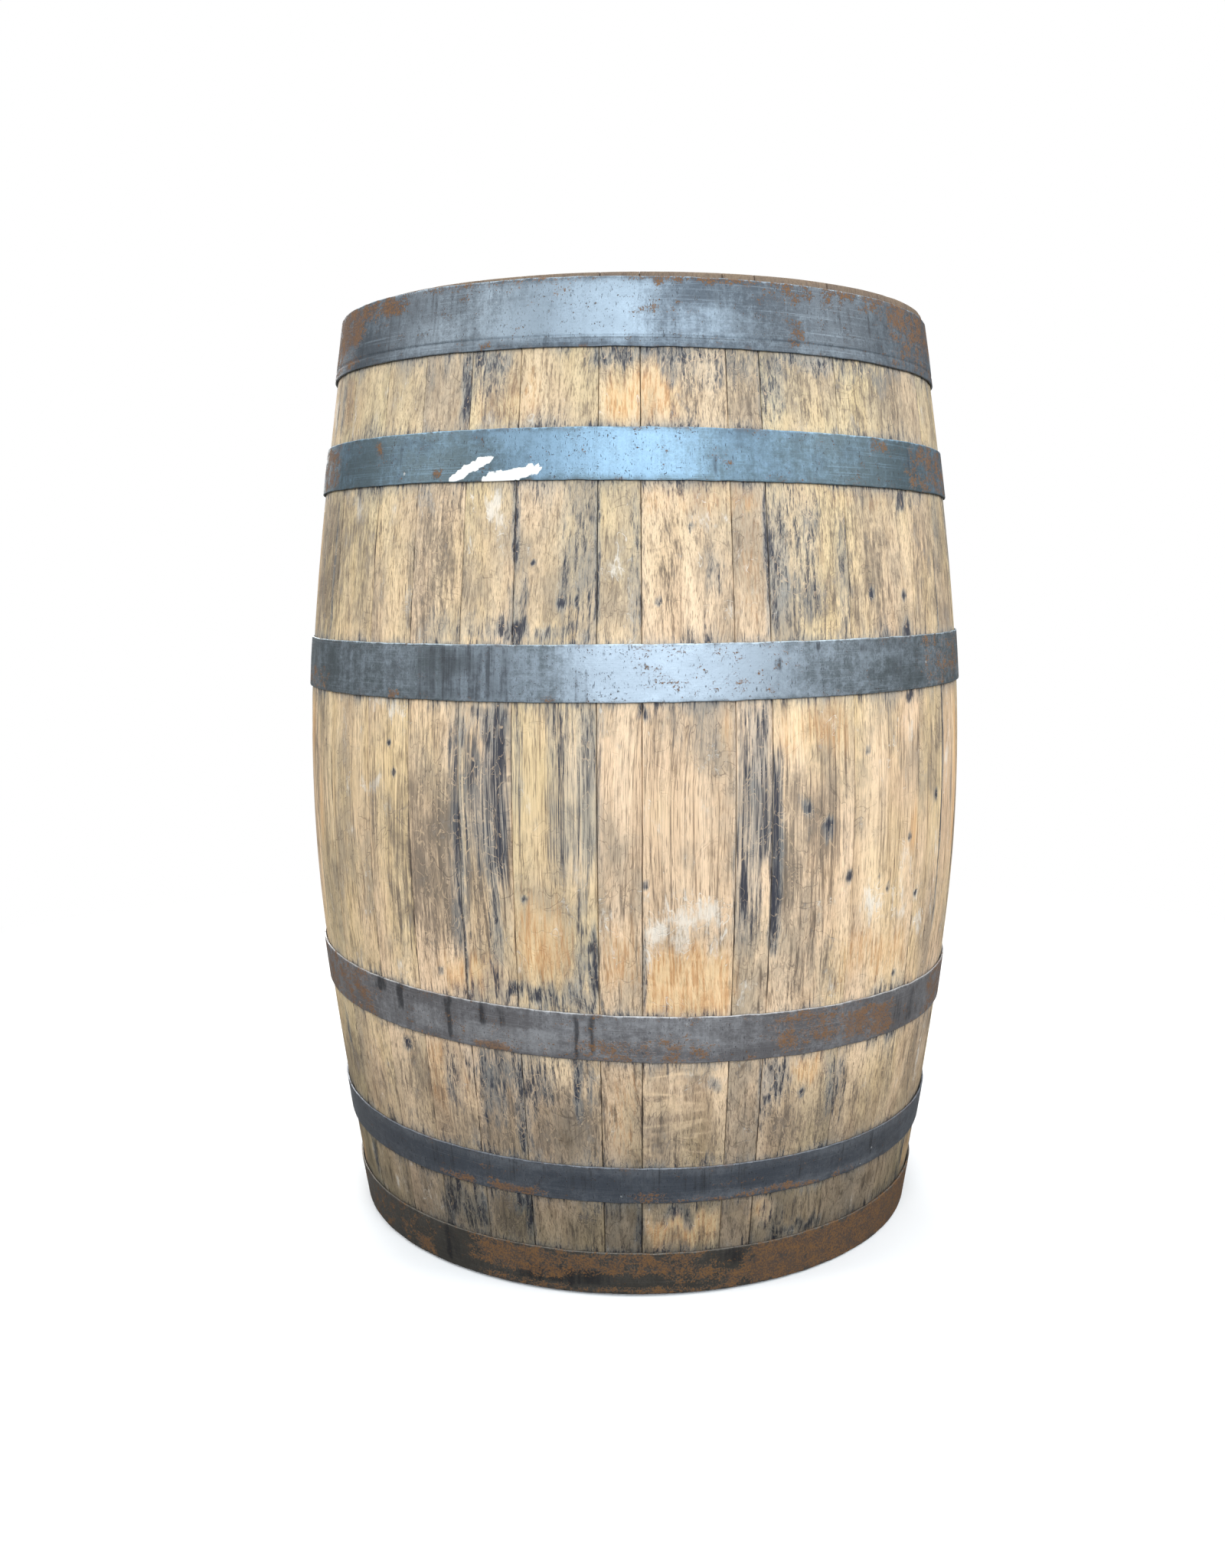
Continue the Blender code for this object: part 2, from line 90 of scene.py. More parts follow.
STAVE_MARKS = with_kinds({
    "stain": (
        (-7, 9.5, 0.814, 0.832, 0.75), (25, 36, 0.814, 0.83, 0.7), (-26.8, -19.5, 0.812, 0.832, 0.8),
        (36, 49, 0.806, 0.826, 0.45), (-36.4, -34.5, 0.8, 0.832, 0.45), (4, 20, 0.8, 0.84, 0.45),
        (-27, -20, 0.79, 0.84, 0.45), (-28.8, -26.6, 0.775, 0.832, 1), (20, 25, 0.765, 0.83, 0.55),
        (48, 51, 0.698, 0.716, 1.2), (-18.6, -17.4, 0.655, 0.722, 1), (10.5, 14, 0.63, 0.67, 0.4),
        (-11.2, -9.8, 0.617, 0.629, 1.1), (-5.9, -4.9, 0.6, 0.722, 0.8), (20, 30, 0.6, 0.73, 0.42),
        (20.2, 24, 0.6, 0.7, 0.75), (32.5, 35.4, 0.6, 0.69, 0.5), (-19, -15.5, 0.595, 0.645, 0.55),
        (-9, -5.3, 0.595, 0.7, 0.5), (-0.6, 1.6, 0.595, 0.72, 0.45), (-11, -5.5, 0.59, 0.73, 0.42),
        (19.9, 21, 0.59, 0.72, 0.9), (-26.8, -20, 0.589, 0.604, 0.55), (-21, -15, 0.589, 0.606, 1),
        (-15, -4.5, 0.589, 0.601, 0.6), (47, 50, 0.588, 0.604, 1.1), (-33, -20, 0.585, 0.615, 0.45),
        (47.5, 50.2, 0.536, 0.545, 1.3), (0.8, 2.4, 0.526, 0.538, 1.1), (-25, -18.5, 0.515, 0.541, 0.8),
        (5.5, 12.5, 0.49, 0.541, 0.3), (-21, -16, 0.44, 0.55, 0.45), (-10, -8.8, 0.44, 0.541, 0.5),
        (25, 27, 0.44, 0.454, 0.8), (-12.6, -10.8, 0.43, 0.541, 0.6), (29, 31.3, 0.424, 0.44, 0.9),
        (-26, -21.5, 0.4, 0.505, 0.6), (-12.5, -4.5, 0.4, 0.55, 0.5), (16.8, 20.4, 0.4, 0.541, 0.85),
        (-8.2, -5.5, 0.395, 0.541, 0.85), (-22.6, -18.8, 0.385, 0.541, 0.95),
        (-27.6, -26, 0.38, 0.475, 1), (15.9, 17, 0.35, 0.412, 1.2), (-8.4, -6.6, 0.34, 0.42, 0.45),
        (14.5, 19, 0.33, 0.55, 0.5), (20.2, 22.2, 0.325, 0.5, 1), (-28.5, -25.5, 0.32, 0.545, 0.52),
        (-22, -20.2, 0.3, 0.4, 0.75), (-9, -5, 0.3, 0.345, 0.55), (-27.2, -26.4, 0.283, 0.54, 0.9),
        (-6.6, -5.4, 0.283, 0.345, 1.3), (-20.5, -17.2, 0.282, 0.298, 0.9),
        (-16.5, -13.8, 0.282, 0.3, 0.9), (-12.5, -8, 0.282, 0.292, 0.7), (-9.4, -7.6, 0.282, 0.32, 0.6),
        (0.8, 1.8, 0.28, 0.345, 0.8), (-30, -24, 0.27, 0.3, 0.55), (-24, -19.5, 0.27, 0.315, 0.6),
        (-14, -5, 0.27, 0.3, 0.66), (-30, -17, 0.2, 0.235, 0.45), (12, 14, 0.2, 0.21, 0.9),
        (31, 36, 0.2, 0.224, 0.5), (-7.2, -6.2, 0.185, 0.234, 0.6), (21, 25.5, 0.185, 0.224, 0.85),
        (-18, -12.5, 0.18, 0.235, 0.55), (-9.8, -8.2, 0.175, 0.234, 0.9), (-33, -29, 0.17, 0.235, 0.6),
        (20, 23, 0.165, 0.235, 0.6), (-26, -21, 0.16, 0.235, 0.58), (33, 38, 0.16, 0.225, 0.55),
        (-19.5, -17.4, 0.132, 0.235, 0.8), (-21, -17.6, 0.075, 0.098, 0.9), (5, 10, 0.073, 0.092, 0.8),
        (22, 27, 0.05, 0.085, 0.55), (-38, -26, 0.045, 0.1, 0.55), (-36.6, -34, 0.045, 0.1, 0.9),
        (-36.4, -27, 0.045, 0.098, 0.75), (-19, -17.6, 0.045, 0.098, 1), (0, 1.4, 0.045, 0.092, 0.7),
        (24, 36, 0.042, 0.056, 0.8),
    ),
    "grime": (
        (-8, 10, 0.805, 0.85, 0.85), (36, 52, 0.795, 0.85, 0.7), (12, 24, 0.785, 0.85, 0.7),
        (6, 30, 0.775, 0.83, 0.5), (-27, -18, 0.77, 0.83, 0.6), (-64, -58.6, 0.765, 0.835, 0.9),
        (30, 60, 0.765, 0.83, 0.45), (7, 18, 0.665, 0.675, 0.5), (36, 47, 0.63, 0.69, 0.5),
        (2, 7.5, 0.61, 0.69, 0.45), (-37, -26.8, 0.6, 0.715, 0.75), (-60, -57.6, 0.595, 0.72, 1),
        (52, 75, 0.595, 0.715, 0.6), (-72, -58, 0.59, 0.72, 0.9), (-64, -44, 0.59, 0.75, 0.4),
        (24, 48, 0.59, 0.72, 0.55), (-34, -27, 0.48, 0.53, 0.5), (55, 60, 0.43, 0.52, 0.6),
        (16, 30, 0.4, 0.5, 0.55), (-42, -35, 0.395, 0.425, 0.8), (26, 33.5, 0.395, 0.475, 0.8),
        (-70, -66, 0.38, 0.545, 0.8), (-45.5, -43.5, 0.365, 0.48, 0.6), (-64, -59.5, 0.36, 0.48, 0.65),
        (-40, -28, 0.36, 0.47, 0.75), (21, 27, 0.35, 0.49, 0.9), (-38, -27, 0.325, 0.48, 1),
        (-27, -21, 0.32, 0.52, 0.7), (-41, -39, 0.31, 0.38, 0.8), (24, 33, 0.283, 0.345, 0.4),
        (16, 19, 0.165, 0.225, 0.5), (24, 42, 0.14, 0.2, 0.6), (46, 52, 0.14, 0.21, 0.7),
        (56, 62, 0.14, 0.215, 0.8), (-50, -36.4, 0.135, 0.2, 0.35), (-42, -30, 0.135, 0.225, 0.6),
        (-36, -27, 0.132, 0.185, 0.8), (-26.8, -18.5, 0.132, 0.235, 1), (-17.5, -5.5, 0.132, 0.225, 0.85),
        (1.5, 15, 0.132, 0.19, 0.55), (21, 36, 0.13, 0.19, 0.8), (25, 35, 0.055, 0.092, 0.6),
        (-26.8, -18, 0.045, 0.098, 1), (-12, -6, 0.045, 0.09, 0.7), (-10.5, -5.3, 0.045, 0.095, 0.8),
        (15, 21, 0.045, 0.092, 0.5), (2, 15, 0.043, 0.062, 0.7),
    ),
    "pale": (
        (-60, -56, 0.765, 0.83, 0.5), (-55, -50, 0.702, 0.722, 0.9), (-25.5, -20, 0.7, 0.718, 0.7),
        (-38, -30.5, 0.69, 0.715, 0.7), (-37, -33, 0.625, 0.645, 0.7), (-45, -37, 0.52, 0.541, 1),
        (44, 50, 0.498, 0.525, 0.9), (-49, -41, 0.452, 0.466, 0.8), (-42, -36, 0.43, 0.445, 0.5),
        (-4.2, -1.5, 0.345, 0.385, 0.7), (2, 14.5, 0.33, 0.385, 0.75), (36, 52, 0.33, 0.38, 0.55),
        (53, 60, 0.31, 0.345, 0.6),
    ),
    "warm": (
        (-27, -14, 0.765, 0.812, 0.5), (-5, 8, 0.765, 0.812, 0.75), (24, 48, 0.7, 0.722, 0.45),
        (1, 20, 0.695, 0.722, 0.5), (15, 20, 0.6, 0.7, 0.35), (12, 15, 0.505, 0.541, 0.5),
        (21, 34.5, 0.495, 0.541, 0.55), (49, 52, 0.4, 0.45, 0.8), (-18, -9.5, 0.3, 0.372, 0.8),
        (-5, 1, 0.29, 0.35, 0.6), (-31, -20, 0.283, 0.32, 0.9), (33, 51, 0.283, 0.33, 0.6),
        (1.5, 14.6, 0.27, 0.33, 1.2), (26, 33, 0.195, 0.222, 0.8), (-37, -28, 0.165, 0.238, 0.7),
        (-4.5, 0.8, 0.14, 0.23, 0.5), (21, 24.5, 0.06, 0.082, 1.2), (2.5, 14.5, 0.05, 0.08, 1.3),
    ),
})

# Small knots, nail holes and bruises in the oak: bearing, height, radius
KNOTS = (
    (-10.5, 0.622, 0.0045), (-8.3, 0.624, 0.0030), (-14.9, 0.655, 0.0020), (-17.4, 0.601, 0.0060),
    (-6.2, 0.333, 0.0050), (-16.4, 0.373, 0.0030), (-21.0, 0.352, 0.0028), (8.6, 0.683, 0.0022),
    (3.6, 0.623, 0.0026), (1.6, 0.388, 0.0026), (26.4, 0.447, 0.0035), (30.2, 0.432, 0.0050),
    (34.7, 0.383, 0.0038), (38.0, 0.493, 0.0026), (43.6, 0.366, 0.0030), (41.4, 0.379, 0.0016),
    (49.0, 0.408, 0.0030), (52.0, 0.352, 0.0024), (47.5, 0.281, 0.0030), (28.3, 0.188, 0.0036),
    (22.0, 0.187, 0.0034), (-41.0, 0.220, 0.0050), (58.3, 0.441, 0.0045), (-39.5, 0.474, 0.0030),
    (-40.6, 0.500, 0.0026), (48.3, 0.626, 0.0040), (40.0, 0.628, 0.0035), (-31.5, 0.300, 0.0026),
)

# Staves sawn on the quarter, whose rays show as bright flecks: bearing, from height, to height
FLECKED = (
    (8.0, 0.040, 0.330), (-31.5, 0.130, 0.240), (17.8, 0.050, 0.095), (-20.5, 0.400, 0.540),
    (118.0, 0.040, 0.500), (-112.0, 0.300, 0.850), (205.0, 0.100, 0.800),
)

# Each front stave's own hue, from 0 for olive to 1 for peach, by its bearing
STAVE_TONES = ((-68.0, 0.10), (-58.6, 0.35), (-46.0, 0.60), (-36.4, 0.75), (-26.8, 0.55), (-18.0, 0.45),
               (-5.3, 0.70), (1.2, 0.90), (14.9, 0.80), (20.6, 0.45), (35.2, 0.50), (51.5, 0.65),
               (61.0, 0.35), (73.0, 0.20))

# Marks on the hoops: from bearing, to bearing, from and to as shares of the strip's width
# counted from its lower edge, strength. A stroke of paint runs from the one share to the other.
# The light marks are painted highlights, set where the strip's reflections of the lamps fall.
HOOP_MARKS = {
    "upper_chime_hoop": with_kinds({
        "rust": (
            (-78, -58, 0, 0.9, 0.45), (-78, -56, 0.35, 1, 1), (-60, -42, 0.7, 1, 0.9),
            (-45, -5, 0.93, 1.02, 0.8), (-26, -23.5, 0, 0.14, 1), (-24, -2, 0.85, 1, 0.35),
            (-1, 9, 0.5, 0.6, 0.7), (0, 78, 0.93, 1.02, 1), (22, 62, 0.72, 1, 0.45),
            (25.5, 28.5, 0.08, 0.5, 0.8), (50, 78, 0, 0.8, 0.45), (50, 80, 0.4, 1, 0.8),
        ),
        "dark": (
            # The first dark mark on this hoop is painted shade, dimming the left softbox's reflection.
            (-78, -28, 0, 1, 0.35), (-50, -34, 0.45, 0.9, 0.5), (2, 14, 0.62, 0.8, 0.5),
            (30, 78, 0, 1, 0.22), (34, 52, 0.35, 0.8, 0.5), (52, 66, 0.1, 0.45, 0.5),
        ),
        "light": (
            (-38, -24, 0.12, 0.5, 0.3), (-24, 4, 0.12, 0.95, 1), (4, 18, 0.12, 0.6, 0.5),
        ),
    }),
    "upper_quarter_hoop": with_kinds({
        "rust": (
            (-78, -60, 0, 1, 0.8), (-47.5, -45, 0.55, 0.95, 0.9), (-33, -31, 0.05, 0.3, 0.8),
            (4, 6, 0.3, 0.7, 0.5), (12.5, 15.5, 0.25, 0.7, 0.5), (18, 40, 0, 0.12, 0.35),
            (41, 46, 0.7, 1, 0.8), (52, 80, 0, 1, 0.75),
        ),
        "dark": (
            (-60, -34, 0.4, 0.9, 0.3), (12, 12.8, 0.1, 0.5, 0.7), (26, 26.8, 0.55, 1, 0.8),
            (50, 60, 0.2, 0.9, 0.5),
        ),
        "paint": (
            (-29.8, -21.8, 0.06, 0.42, 1), (-24, -18, 0.03, 0.12, 1), (-20.5, -13.5, 0.06, 0.22, 1),
        ),
        "light": (
            (-22, 12, 0.05, 1, 0.8), (12, 32, 0.05, 1, 0.3),
        ),
    }),
    "upper_bilge_hoop": with_kinds({
        "rust": (
            (-78, -60, 0, 0.45, 0.7), (-44, -30, 0, 0.12, 0.4), (-40.5, -38, 0.02, 0.16, 1.4),
            (-13, -11, 0, 0.08, 1.3), (0, 25, 0.1, 0.95, 0.28), (52, 80, 0, 1, 0.6),
        ),
        "dark": (
            (-36, -17, 0, 1, 0.75), (-9, -6, 0, 0.6, 0.5), (20.5, 22, 0.5, 0.7, 0.9),
            (26.5, 30, 0.84, 0.94, 0.9), (32, 50, 0.78, 0.88, 0.7), (40, 58, 0.1, 0.7, 0.3),
        ),
        "light": (
            (-33, -12, 0, 1, 0.4), (-24, -10, 0.1, 0.9, 0.3), (-10, 26, 0, 1, 1), (17, 34, 0, 1, 0.5),
            (26, 40, 0.1, 0.8, 0.4),
        ),
    }),
    "lower_bilge_hoop": with_kinds({
        "rust": (
            (-78, -48, 0, 1, 0.55), (-53, -50.5, 0.3, 0.65, 0.9), (-25, -20, 0, 0.18, 1.5),
            (-10, 8, 0, 0.5, 0.55), (4, 12, 0, 0.55, 0.35), (17.8, 19.2, 0.02, 0.14, 1.3),
            (22, 34, 0.2, 0.95, 0.6), (34, 48, 0.1, 0.8, 0.75), (60, 80, 0, 1, 0.6),
        ),
        "dark": (
            (-47, -45, 0.7, 1, 1.2), (-41.5, -40, 0.4, 1, 1.1), (-31.5, -29.8, 0.05, 1, 0.9),
            (-24.6, -23.4, 0.5, 1, 0.9), (-21.6, -20.2, 0.5, 1, 1), (-9.6, -8.4, 0, 1, 1.1),
            (-7, -6, 0.1, 1, 0.9), (34, 60, 0, 1, 0.2), (46, 60, 0.1, 0.9, 0.5),
        ),
        "light": (
            (-38, -32, 0.2, 0.7, 0.4), (-30, -10, 0.1, 0.55, 0.6), (-12, -4, 0.1, 0.9, 0.4),
            (-5, 20, 0.3, 1, 0.35), (14, 24, 0.3, 1, 0.35),
        ),
    }),
    "lower_quarter_hoop": with_kinds({
        "rust": (
            (-36, -28, 0, 0.24, 1.1), (-34, -20, 0.55, 0.7, 0.5), (-26, -15, 0, 0.26, 1.2),
            (-2, 34, 0.02, 0.14, 0.9), (0, 6, 0, 0.35, 0.8), (7, 13, 0.1, 0.4, 0.4),
            (12, 30, 0.4, 0.55, 0.5), (20, 29, 0.02, 0.26, 1.1), (36, 44, 0, 0.25, 0.6),
        ),
        "dark": (
            (-40, 60, 0.25, 1, 0.4),
        ),
        "light": (
            (-60, 60, 0.78, 1, 0.45), (10, 50, 0.05, 0.25, 0.5),
        ),
    }),
    "lower_chime_hoop": with_kinds({
        "rust": (
            (-78, -40, 0, 1, 0.35), (-47, -41, 0.05, 0.45, 1), (-31, -12, 0.3, 1, 1),
            (-30, 20, 0, 0.16, 0.9), (-14, 12, 0.45, 1, 0.9), (6, 16, 0.2, 0.8, 0.7),
            (15, 20.5, 0.1, 0.45, 1.2), (20, 80, 0, 1, 1.25),
        ),
        "dark": (
            (-40, -32, 0.2, 0.8, 0.4), (-38, -35.5, 0.1, 1, 0.9), (-22, -4, 0.15, 0.6, 0.8),
            (14, 22, 0.6, 1, 0.7),
        ),
    }),
}

# Each hoop's finish: colour of the bare steel, colour of its lighter scale, rust everywhere
HOOP_FINISH = {
    "upper_chime_hoop": ((0.056, 0.070, 0.086), (0.225, 0.280, 0.330), 0.15),
    "upper_quarter_hoop": ((0.066, 0.098, 0.115), (0.180, 0.285, 0.380), 0.12),
    "upper_bilge_hoop": ((0.085, 0.104, 0.114), (0.310, 0.370, 0.430), 0.10),
    "lower_bilge_hoop": ((0.155, 0.150, 0.158), (0.400, 0.405, 0.425), 0.24),
    "lower_quarter_hoop": ((0.074, 0.085, 0.106), (0.190, 0.205, 0.230), 0.10),
    "lower_chime_hoop": ((0.070, 0.064, 0.056), (0.140, 0.128, 0.112), 0.16),
}
CREASED_HOOP = "upper_chime_hoop"
CREASE_HEIGHT = 0.0085        # above its lower edge
CREASE_HALF = 0.0011
CREASE_DEPTH = 0.00055

# ---- Shape and noise helpers ----


def outer_radius(height):
    """The barrel's outline: a hyperbola, straight towards the ends and rounded at the bilge."""
    along = np.abs(2.0 * np.asarray(height, float) / HEIGHT - 1.0)
    rise = np.hypot(along, BILGE_ROUNDNESS) - BILGE_ROUNDNESS
    full_rise = math.hypot(1.0, BILGE_ROUNDNESS) - BILGE_ROUNDNESS
    return BILGE_RADIUS - (BILGE_RADIUS - END_RADIUS) * rise / full_rise


def inner_radius(height):
    """The inside of a stave, with its chime bevel and the groove that holds the head."""
    from_end = np.minimum(height, HEIGHT - np.asarray(height, float))
    plain = outer_radius(height) - STAVE_THICKNESS
    bevel_foot = outer_radius(CHIME_BEVEL_DEPTH) - STAVE_THICKNESS
    bevel_top = END_RADIUS - CHIME_WIDTH
    bevel = bevel_top + (bevel_foot - bevel_top) * from_end / CHIME_BEVEL_DEPTH
    in_groove = np.abs(from_end - CROZE_CENTRE) < CROZE_WIDTH / 2
    groove = outer_radius(CROZE_CENTRE) - STAVE_THICKNESS + CROZE_DEPTH
    return np.where(from_end < CHIME_BEVEL_DEPTH, bevel, np.where(in_groove, groove, plain))


def smooth(share):
    share = np.clip(share, 0.0, 1.0)
    return share * share * (3.0 - 2.0 * share)


def window(value, low, high, softness):
    """1 between low and high, fading to 0 over the softness at either end."""
    rising = smooth((value - low) / softness + 0.5)
    falling = smooth((high - value) / softness + 0.5)
    return rising * falling


LATTICE = 32
LATTICE_SEED = 11
LATTICE_VALUES = np.random.default_rng(LATTICE_SEED).random((LATTICE, LATTICE, LATTICE))


def noise(x, y, z=0.0, octaves=1):
    """Smooth random values from -1 to 1, the same on every run."""
    total, reach = 0.0, 0.0
    for octave in range(octaves):
        scale = 2.0 ** octave
        place = [np.asarray(axis, float) * scale + 7.3 * octave for axis in (x, y, z)]
        cell = [np.floor(axis).astype(int) for axis in place]
        part = [smooth(axis - low) for axis, low in zip(place, cell)]
        value = 0.0
        for corner in range(8):
            step = [(corner >> axis) & 1 for axis in range(3)]
            index = [(low + up) % LATTICE for low, up in zip(cell, step)]
            weight = 1.0
            for share, up in zip(part, step):
                weight = weight * (share if up else 1.0 - share)
            value = value + weight * LATTICE_VALUES[index[0], index[1], index[2]]
        total = total + (2.0 * value - 1.0) / scale
        reach += 1.0 / scale
    return total / reach


def mesh_points(mesh):
    points = np.empty(3 * len(mesh.vertices))
    mesh.vertices.foreach_get("co", points)
    return points.reshape(-1, 3)


def node_points(name):
    return mesh_points(NODES[name].data)


def bearings_of(points):
    return np.degrees(np.arctan2(points[:, 0], -points[:, 1]))


def bearing_range(name):
    """A node's first and last bearing, in degrees, also where it lies across the back."""
    points = node_points(name)
    middle = math.degrees(math.atan2(points[:, 0].mean(), -points[:, 1].mean()))
    offsets = (bearings_of(points) - middle + 180.0) % 360.0 - 180.0
    return middle + offsets.min(), middle + offsets.max()


def hoop_edges(name):
    """A hoop's lower and upper edge at the front and its sideways lean, read from its solid."""
    points = node_points(name)
    across = np.stack([np.ones(len(points)), points[:, 0]], axis=1)
    fit = np.linalg.lstsq(across, points[:, 2], rcond=None)[0]
    above = points[:, 2] - across @ fit
    edges = []
    for side in (-1.0, 1.0):
        edge = side * above > 0.8 * (side * above).max()
        edges.append(np.linalg.lstsq(across[edge], points[edge, 2], rcond=None)[0])
    lean = (edges[0][1] + edges[1][1]) / 2
    return edges[0][0], edges[1][0], lean


HOOPS = {name: hoop_edges(name) for name in HOOP_MARKS}


def hoop_edge_height(name, share, bearing):
    """The height of a hoop at a bearing: share 0 is its lower edge and 1 its upper one."""
    low, high, lean = HOOPS[name]
    middle = low + (high - low) * share
    return middle + lean * outer_radius(middle) * np.sin(np.radians(bearing))


def write_mesh(builder, mesh):
    """Give a mesh the builder's faces, all turned outwards."""
    bmesh.ops.recalc_face_normals(builder, faces=builder.faces)
    builder.to_mesh(mesh)
    builder.free()
    return mesh


def grid_mesh(name, points):
    """A closed tube from rows of points that each run once round its section."""
    rows, columns = points.shape[:2]
    faces = []
    for row in range(rows - 1):
        for column in range(columns):
            beside = (column + 1) % columns
            faces.append((row * columns + column, row * columns + beside,
                          (row + 1) * columns + beside, (row + 1) * columns + column))
    faces.append(tuple(reversed(range(columns))))
    faces.append(tuple((rows - 1) * columns + column for column in range(columns)))
    mesh = bpy.data.meshes.new(name)
    mesh.from_pydata(points.reshape(-1, 3).tolist(), [], faces)
    builder = bmesh.new()
    builder.from_mesh(mesh)
    return write_mesh(builder, mesh)


def add_attribute(mesh, name, kind, values):
    attribute = mesh.attributes.new(name, kind, "POINT")
    field = {"FLOAT_COLOR": "color", "FLOAT_VECTOR": "vector"}[kind]
    attribute.data.foreach_set(field, np.asarray(values, np.float32).ravel())


def add_plain_attributes(mesh, grain, tone):
    """The attributes of a piece that has no marks of its own."""
    blank = np.zeros((len(grain), 4))
    add_attribute(mesh, "grain", "FLOAT_VECTOR", grain)
    add_attribute(mesh, "traits", "FLOAT_COLOR", blank + (0.0, 0.0, 0.0, tone))
    add_attribute(mesh, "marks", "FLOAT_COLOR", blank)


def link_new(name, data):
    """A new object in the scene."""
    thing = bpy.data.objects.new(name, data)
    bpy.context.scene.collection.objects.link(thing)
    return thing


def add_piece(name, mesh, material, body, replaced):
    """Link a finished mesh as a piece that rides on a body and stands for a CAD node."""
    piece = link_new(name, mesh)
    mesh.materials.append(material)
    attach(piece, body)
    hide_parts(replaced)


def shade(mesh, sharp_angle=40.0):
    mesh.shade_smooth()
    mesh.set_sharp_from_angle(angle=math.radians(sharp_angle))


# ---- Staves ----

FRONT_REACH = 78.0            # bearings up to this are modelled at full fineness
HIDDEN_COARSENESS = 1.6
RANDOM_FROM = 60.0            # bearings past this have random marks as well
BACK_FROM = 150.0             # staves past this lie across the back, so their bearings run on past 180
INNER_SHARES = (1.0, 0.75, 0.5, 0.25, 0.0)
STAVE_GRAIN_SHIFTS = (0.37, 1.7)        # each stave's wood starts elsewhere in the grain
STAIN_BELOW, STAIN_ABOVE = 0.0080, 0.0055      # reach of the iron stain round a hoop
STAIN_SOFTNESS, MARK_SOFTNESS = 1.8, 5.0       # degrees over which a mark's sides fade
STAVE_SEED = 100
STAVE_STEP = 0.00025          # how far a stave stands in or out of the outline
STAVE_WAVE = 0.00035
STAVE_CUPPING = 0.00025
GOUGE_DEPTH = 0.00030
KNOT_DEPTH = 0.0006
SEAM_FADE = 0.0010            # how far a seam's dirt reaches over the face


def row_heights(pitch):
    """Heights along a stave, closer together at the rounded end, the bevel and the groove."""
    groove = [CROZE_CENTRE + side * (CROZE_WIDTH / 2 + nudge)
              for side, nudge in ((-1, 0.0002), (-1, -0.0002), (1, -0.0002), (1, 0.0002))]
    end = [0.0, 0.0004, 0.0011, 0.0022, 0.0045, 0.009, 0.014, 0.020, CHIME_BEVEL_DEPTH, 0.030]
    end = end + groove + [0.044]
    middle = np.linspace(0.050, HEIGHT - 0.050, round((HEIGHT - 0.100) / pitch) + 1)
    return np.array(end + list(middle) + [HEIGHT - height for height in reversed(end)])


def column_distances(width, pitch):
    """Distances from a stave's first edge, closer together at its rounded edges."""
    edge = [0.0, 0.0004, 0.0010, 0.0020]
    count = max(4, round((width - 0.004) / pitch))
    middle = np.linspace(0.0035, width - 0.0035, count)
    return np.array(edge + list(middle) + [width - distance for distance in reversed(edge)])


def rounding_drop(distance, radius):
    """How far a quarter-round edge falls away at a distance from the edge."""
    short = np.clip(radius - distance, 0.0, None)
    return radius - np.sqrt(np.clip(radius * radius - short * short, 0.0, None))


def random_marks(low, high, rng):
    """Marks of the same kinds for a stave that faces away from the front."""
    marks = []
    bands = ((0.045, 0.095), (0.132, 0.228), (0.276, 0.540), (0.590, 0.720), (0.766, 0.828))
    wide = high - low
    for bottom, top in bands:
        for kind, chance, strength in (("stain", 0.75, 0.8), ("grime", 0.8, 0.8),
                                       ("warm", 0.5, 0.8), ("pale", 0.35, 0.7)):
            if rng.random() > chance:
                continue
            start = low + wide * rng.random()
            reach = wide * (0.08 + 0.22 * rng.random() if kind == "stain" else 0.2 + 0.8 * rng.random())
            hangs = rng.random() < 0.6
            span = (top - bottom) * (0.15 + 0.75 * rng.random())
            lift = (top - bottom - span) * (1.0 if hangs else rng.random())
            marks.append((kind, start, min(start + reach, high + 0.5), bottom + lift,
                          bottom + lift + span, strength * (0.6 + 0.6 * rng.random())))
    marks.append(("stain", low - 0.4, low + 0.4, 0.1 + 0.3 * rng.random(), 0.5 + 0.3 * rng.random(), 0.8))
    return marks


def stave_marks(bearing, height, marks):
    """The marks' strengths at each point, as one column each for stain, grime, pale and warm."""
    kinds = {"stain": 0, "grime": 1, "pale": 2, "warm": 3}
    layers = np.zeros((4, *bearing.shape))
    wobble_across = 0.5 * noise(bearing * 0.9, height * 30.0, 3.0, octaves=2)
    wobble_along = 0.016 * noise(bearing * 0.8, height * 14.0, 9.0, octaves=3)
    for kind, first, last, low, high, strength in marks:
        soft_across = min(last - first, STAIN_SOFTNESS if kind == "stain" else MARK_SOFTNESS)
        across = window(bearing + wobble_across, first, last, soft_across)
        along = window(height + wobble_along, low, high, min(0.060, 0.8 * (high - low)))
        layer = layers[kinds[kind]]
        np.maximum(layer, strength * across * along, out=layer)
    return layers


def hoop_stains(bearing, height):
    """Iron stain in the oak, close above and below each hoop."""
    stain = np.zeros(bearing.shape)
    for index, name in enumerate(HOOPS):
        ragged = 0.60 + 0.45 * noise(bearing * 0.35, 4.0 * index + 1.0, octaves=2)
        climb = 1.0 + 3.5 * np.clip(noise(bearing * 0.16, 4.0 * index + 2.5, octaves=3), 0.0, 1.0)
        below = hoop_edge_height(name, 0.0, bearing) - height
        above = height - hoop_edge_height(name, 1.0, bearing)
        away = np.maximum(below / STAIN_BELOW, above / STAIN_ABOVE) / climb
        stain = np.maximum(stain, 0.9 * ragged * np.exp(-np.clip(away, 0.0, None)))
    return stain


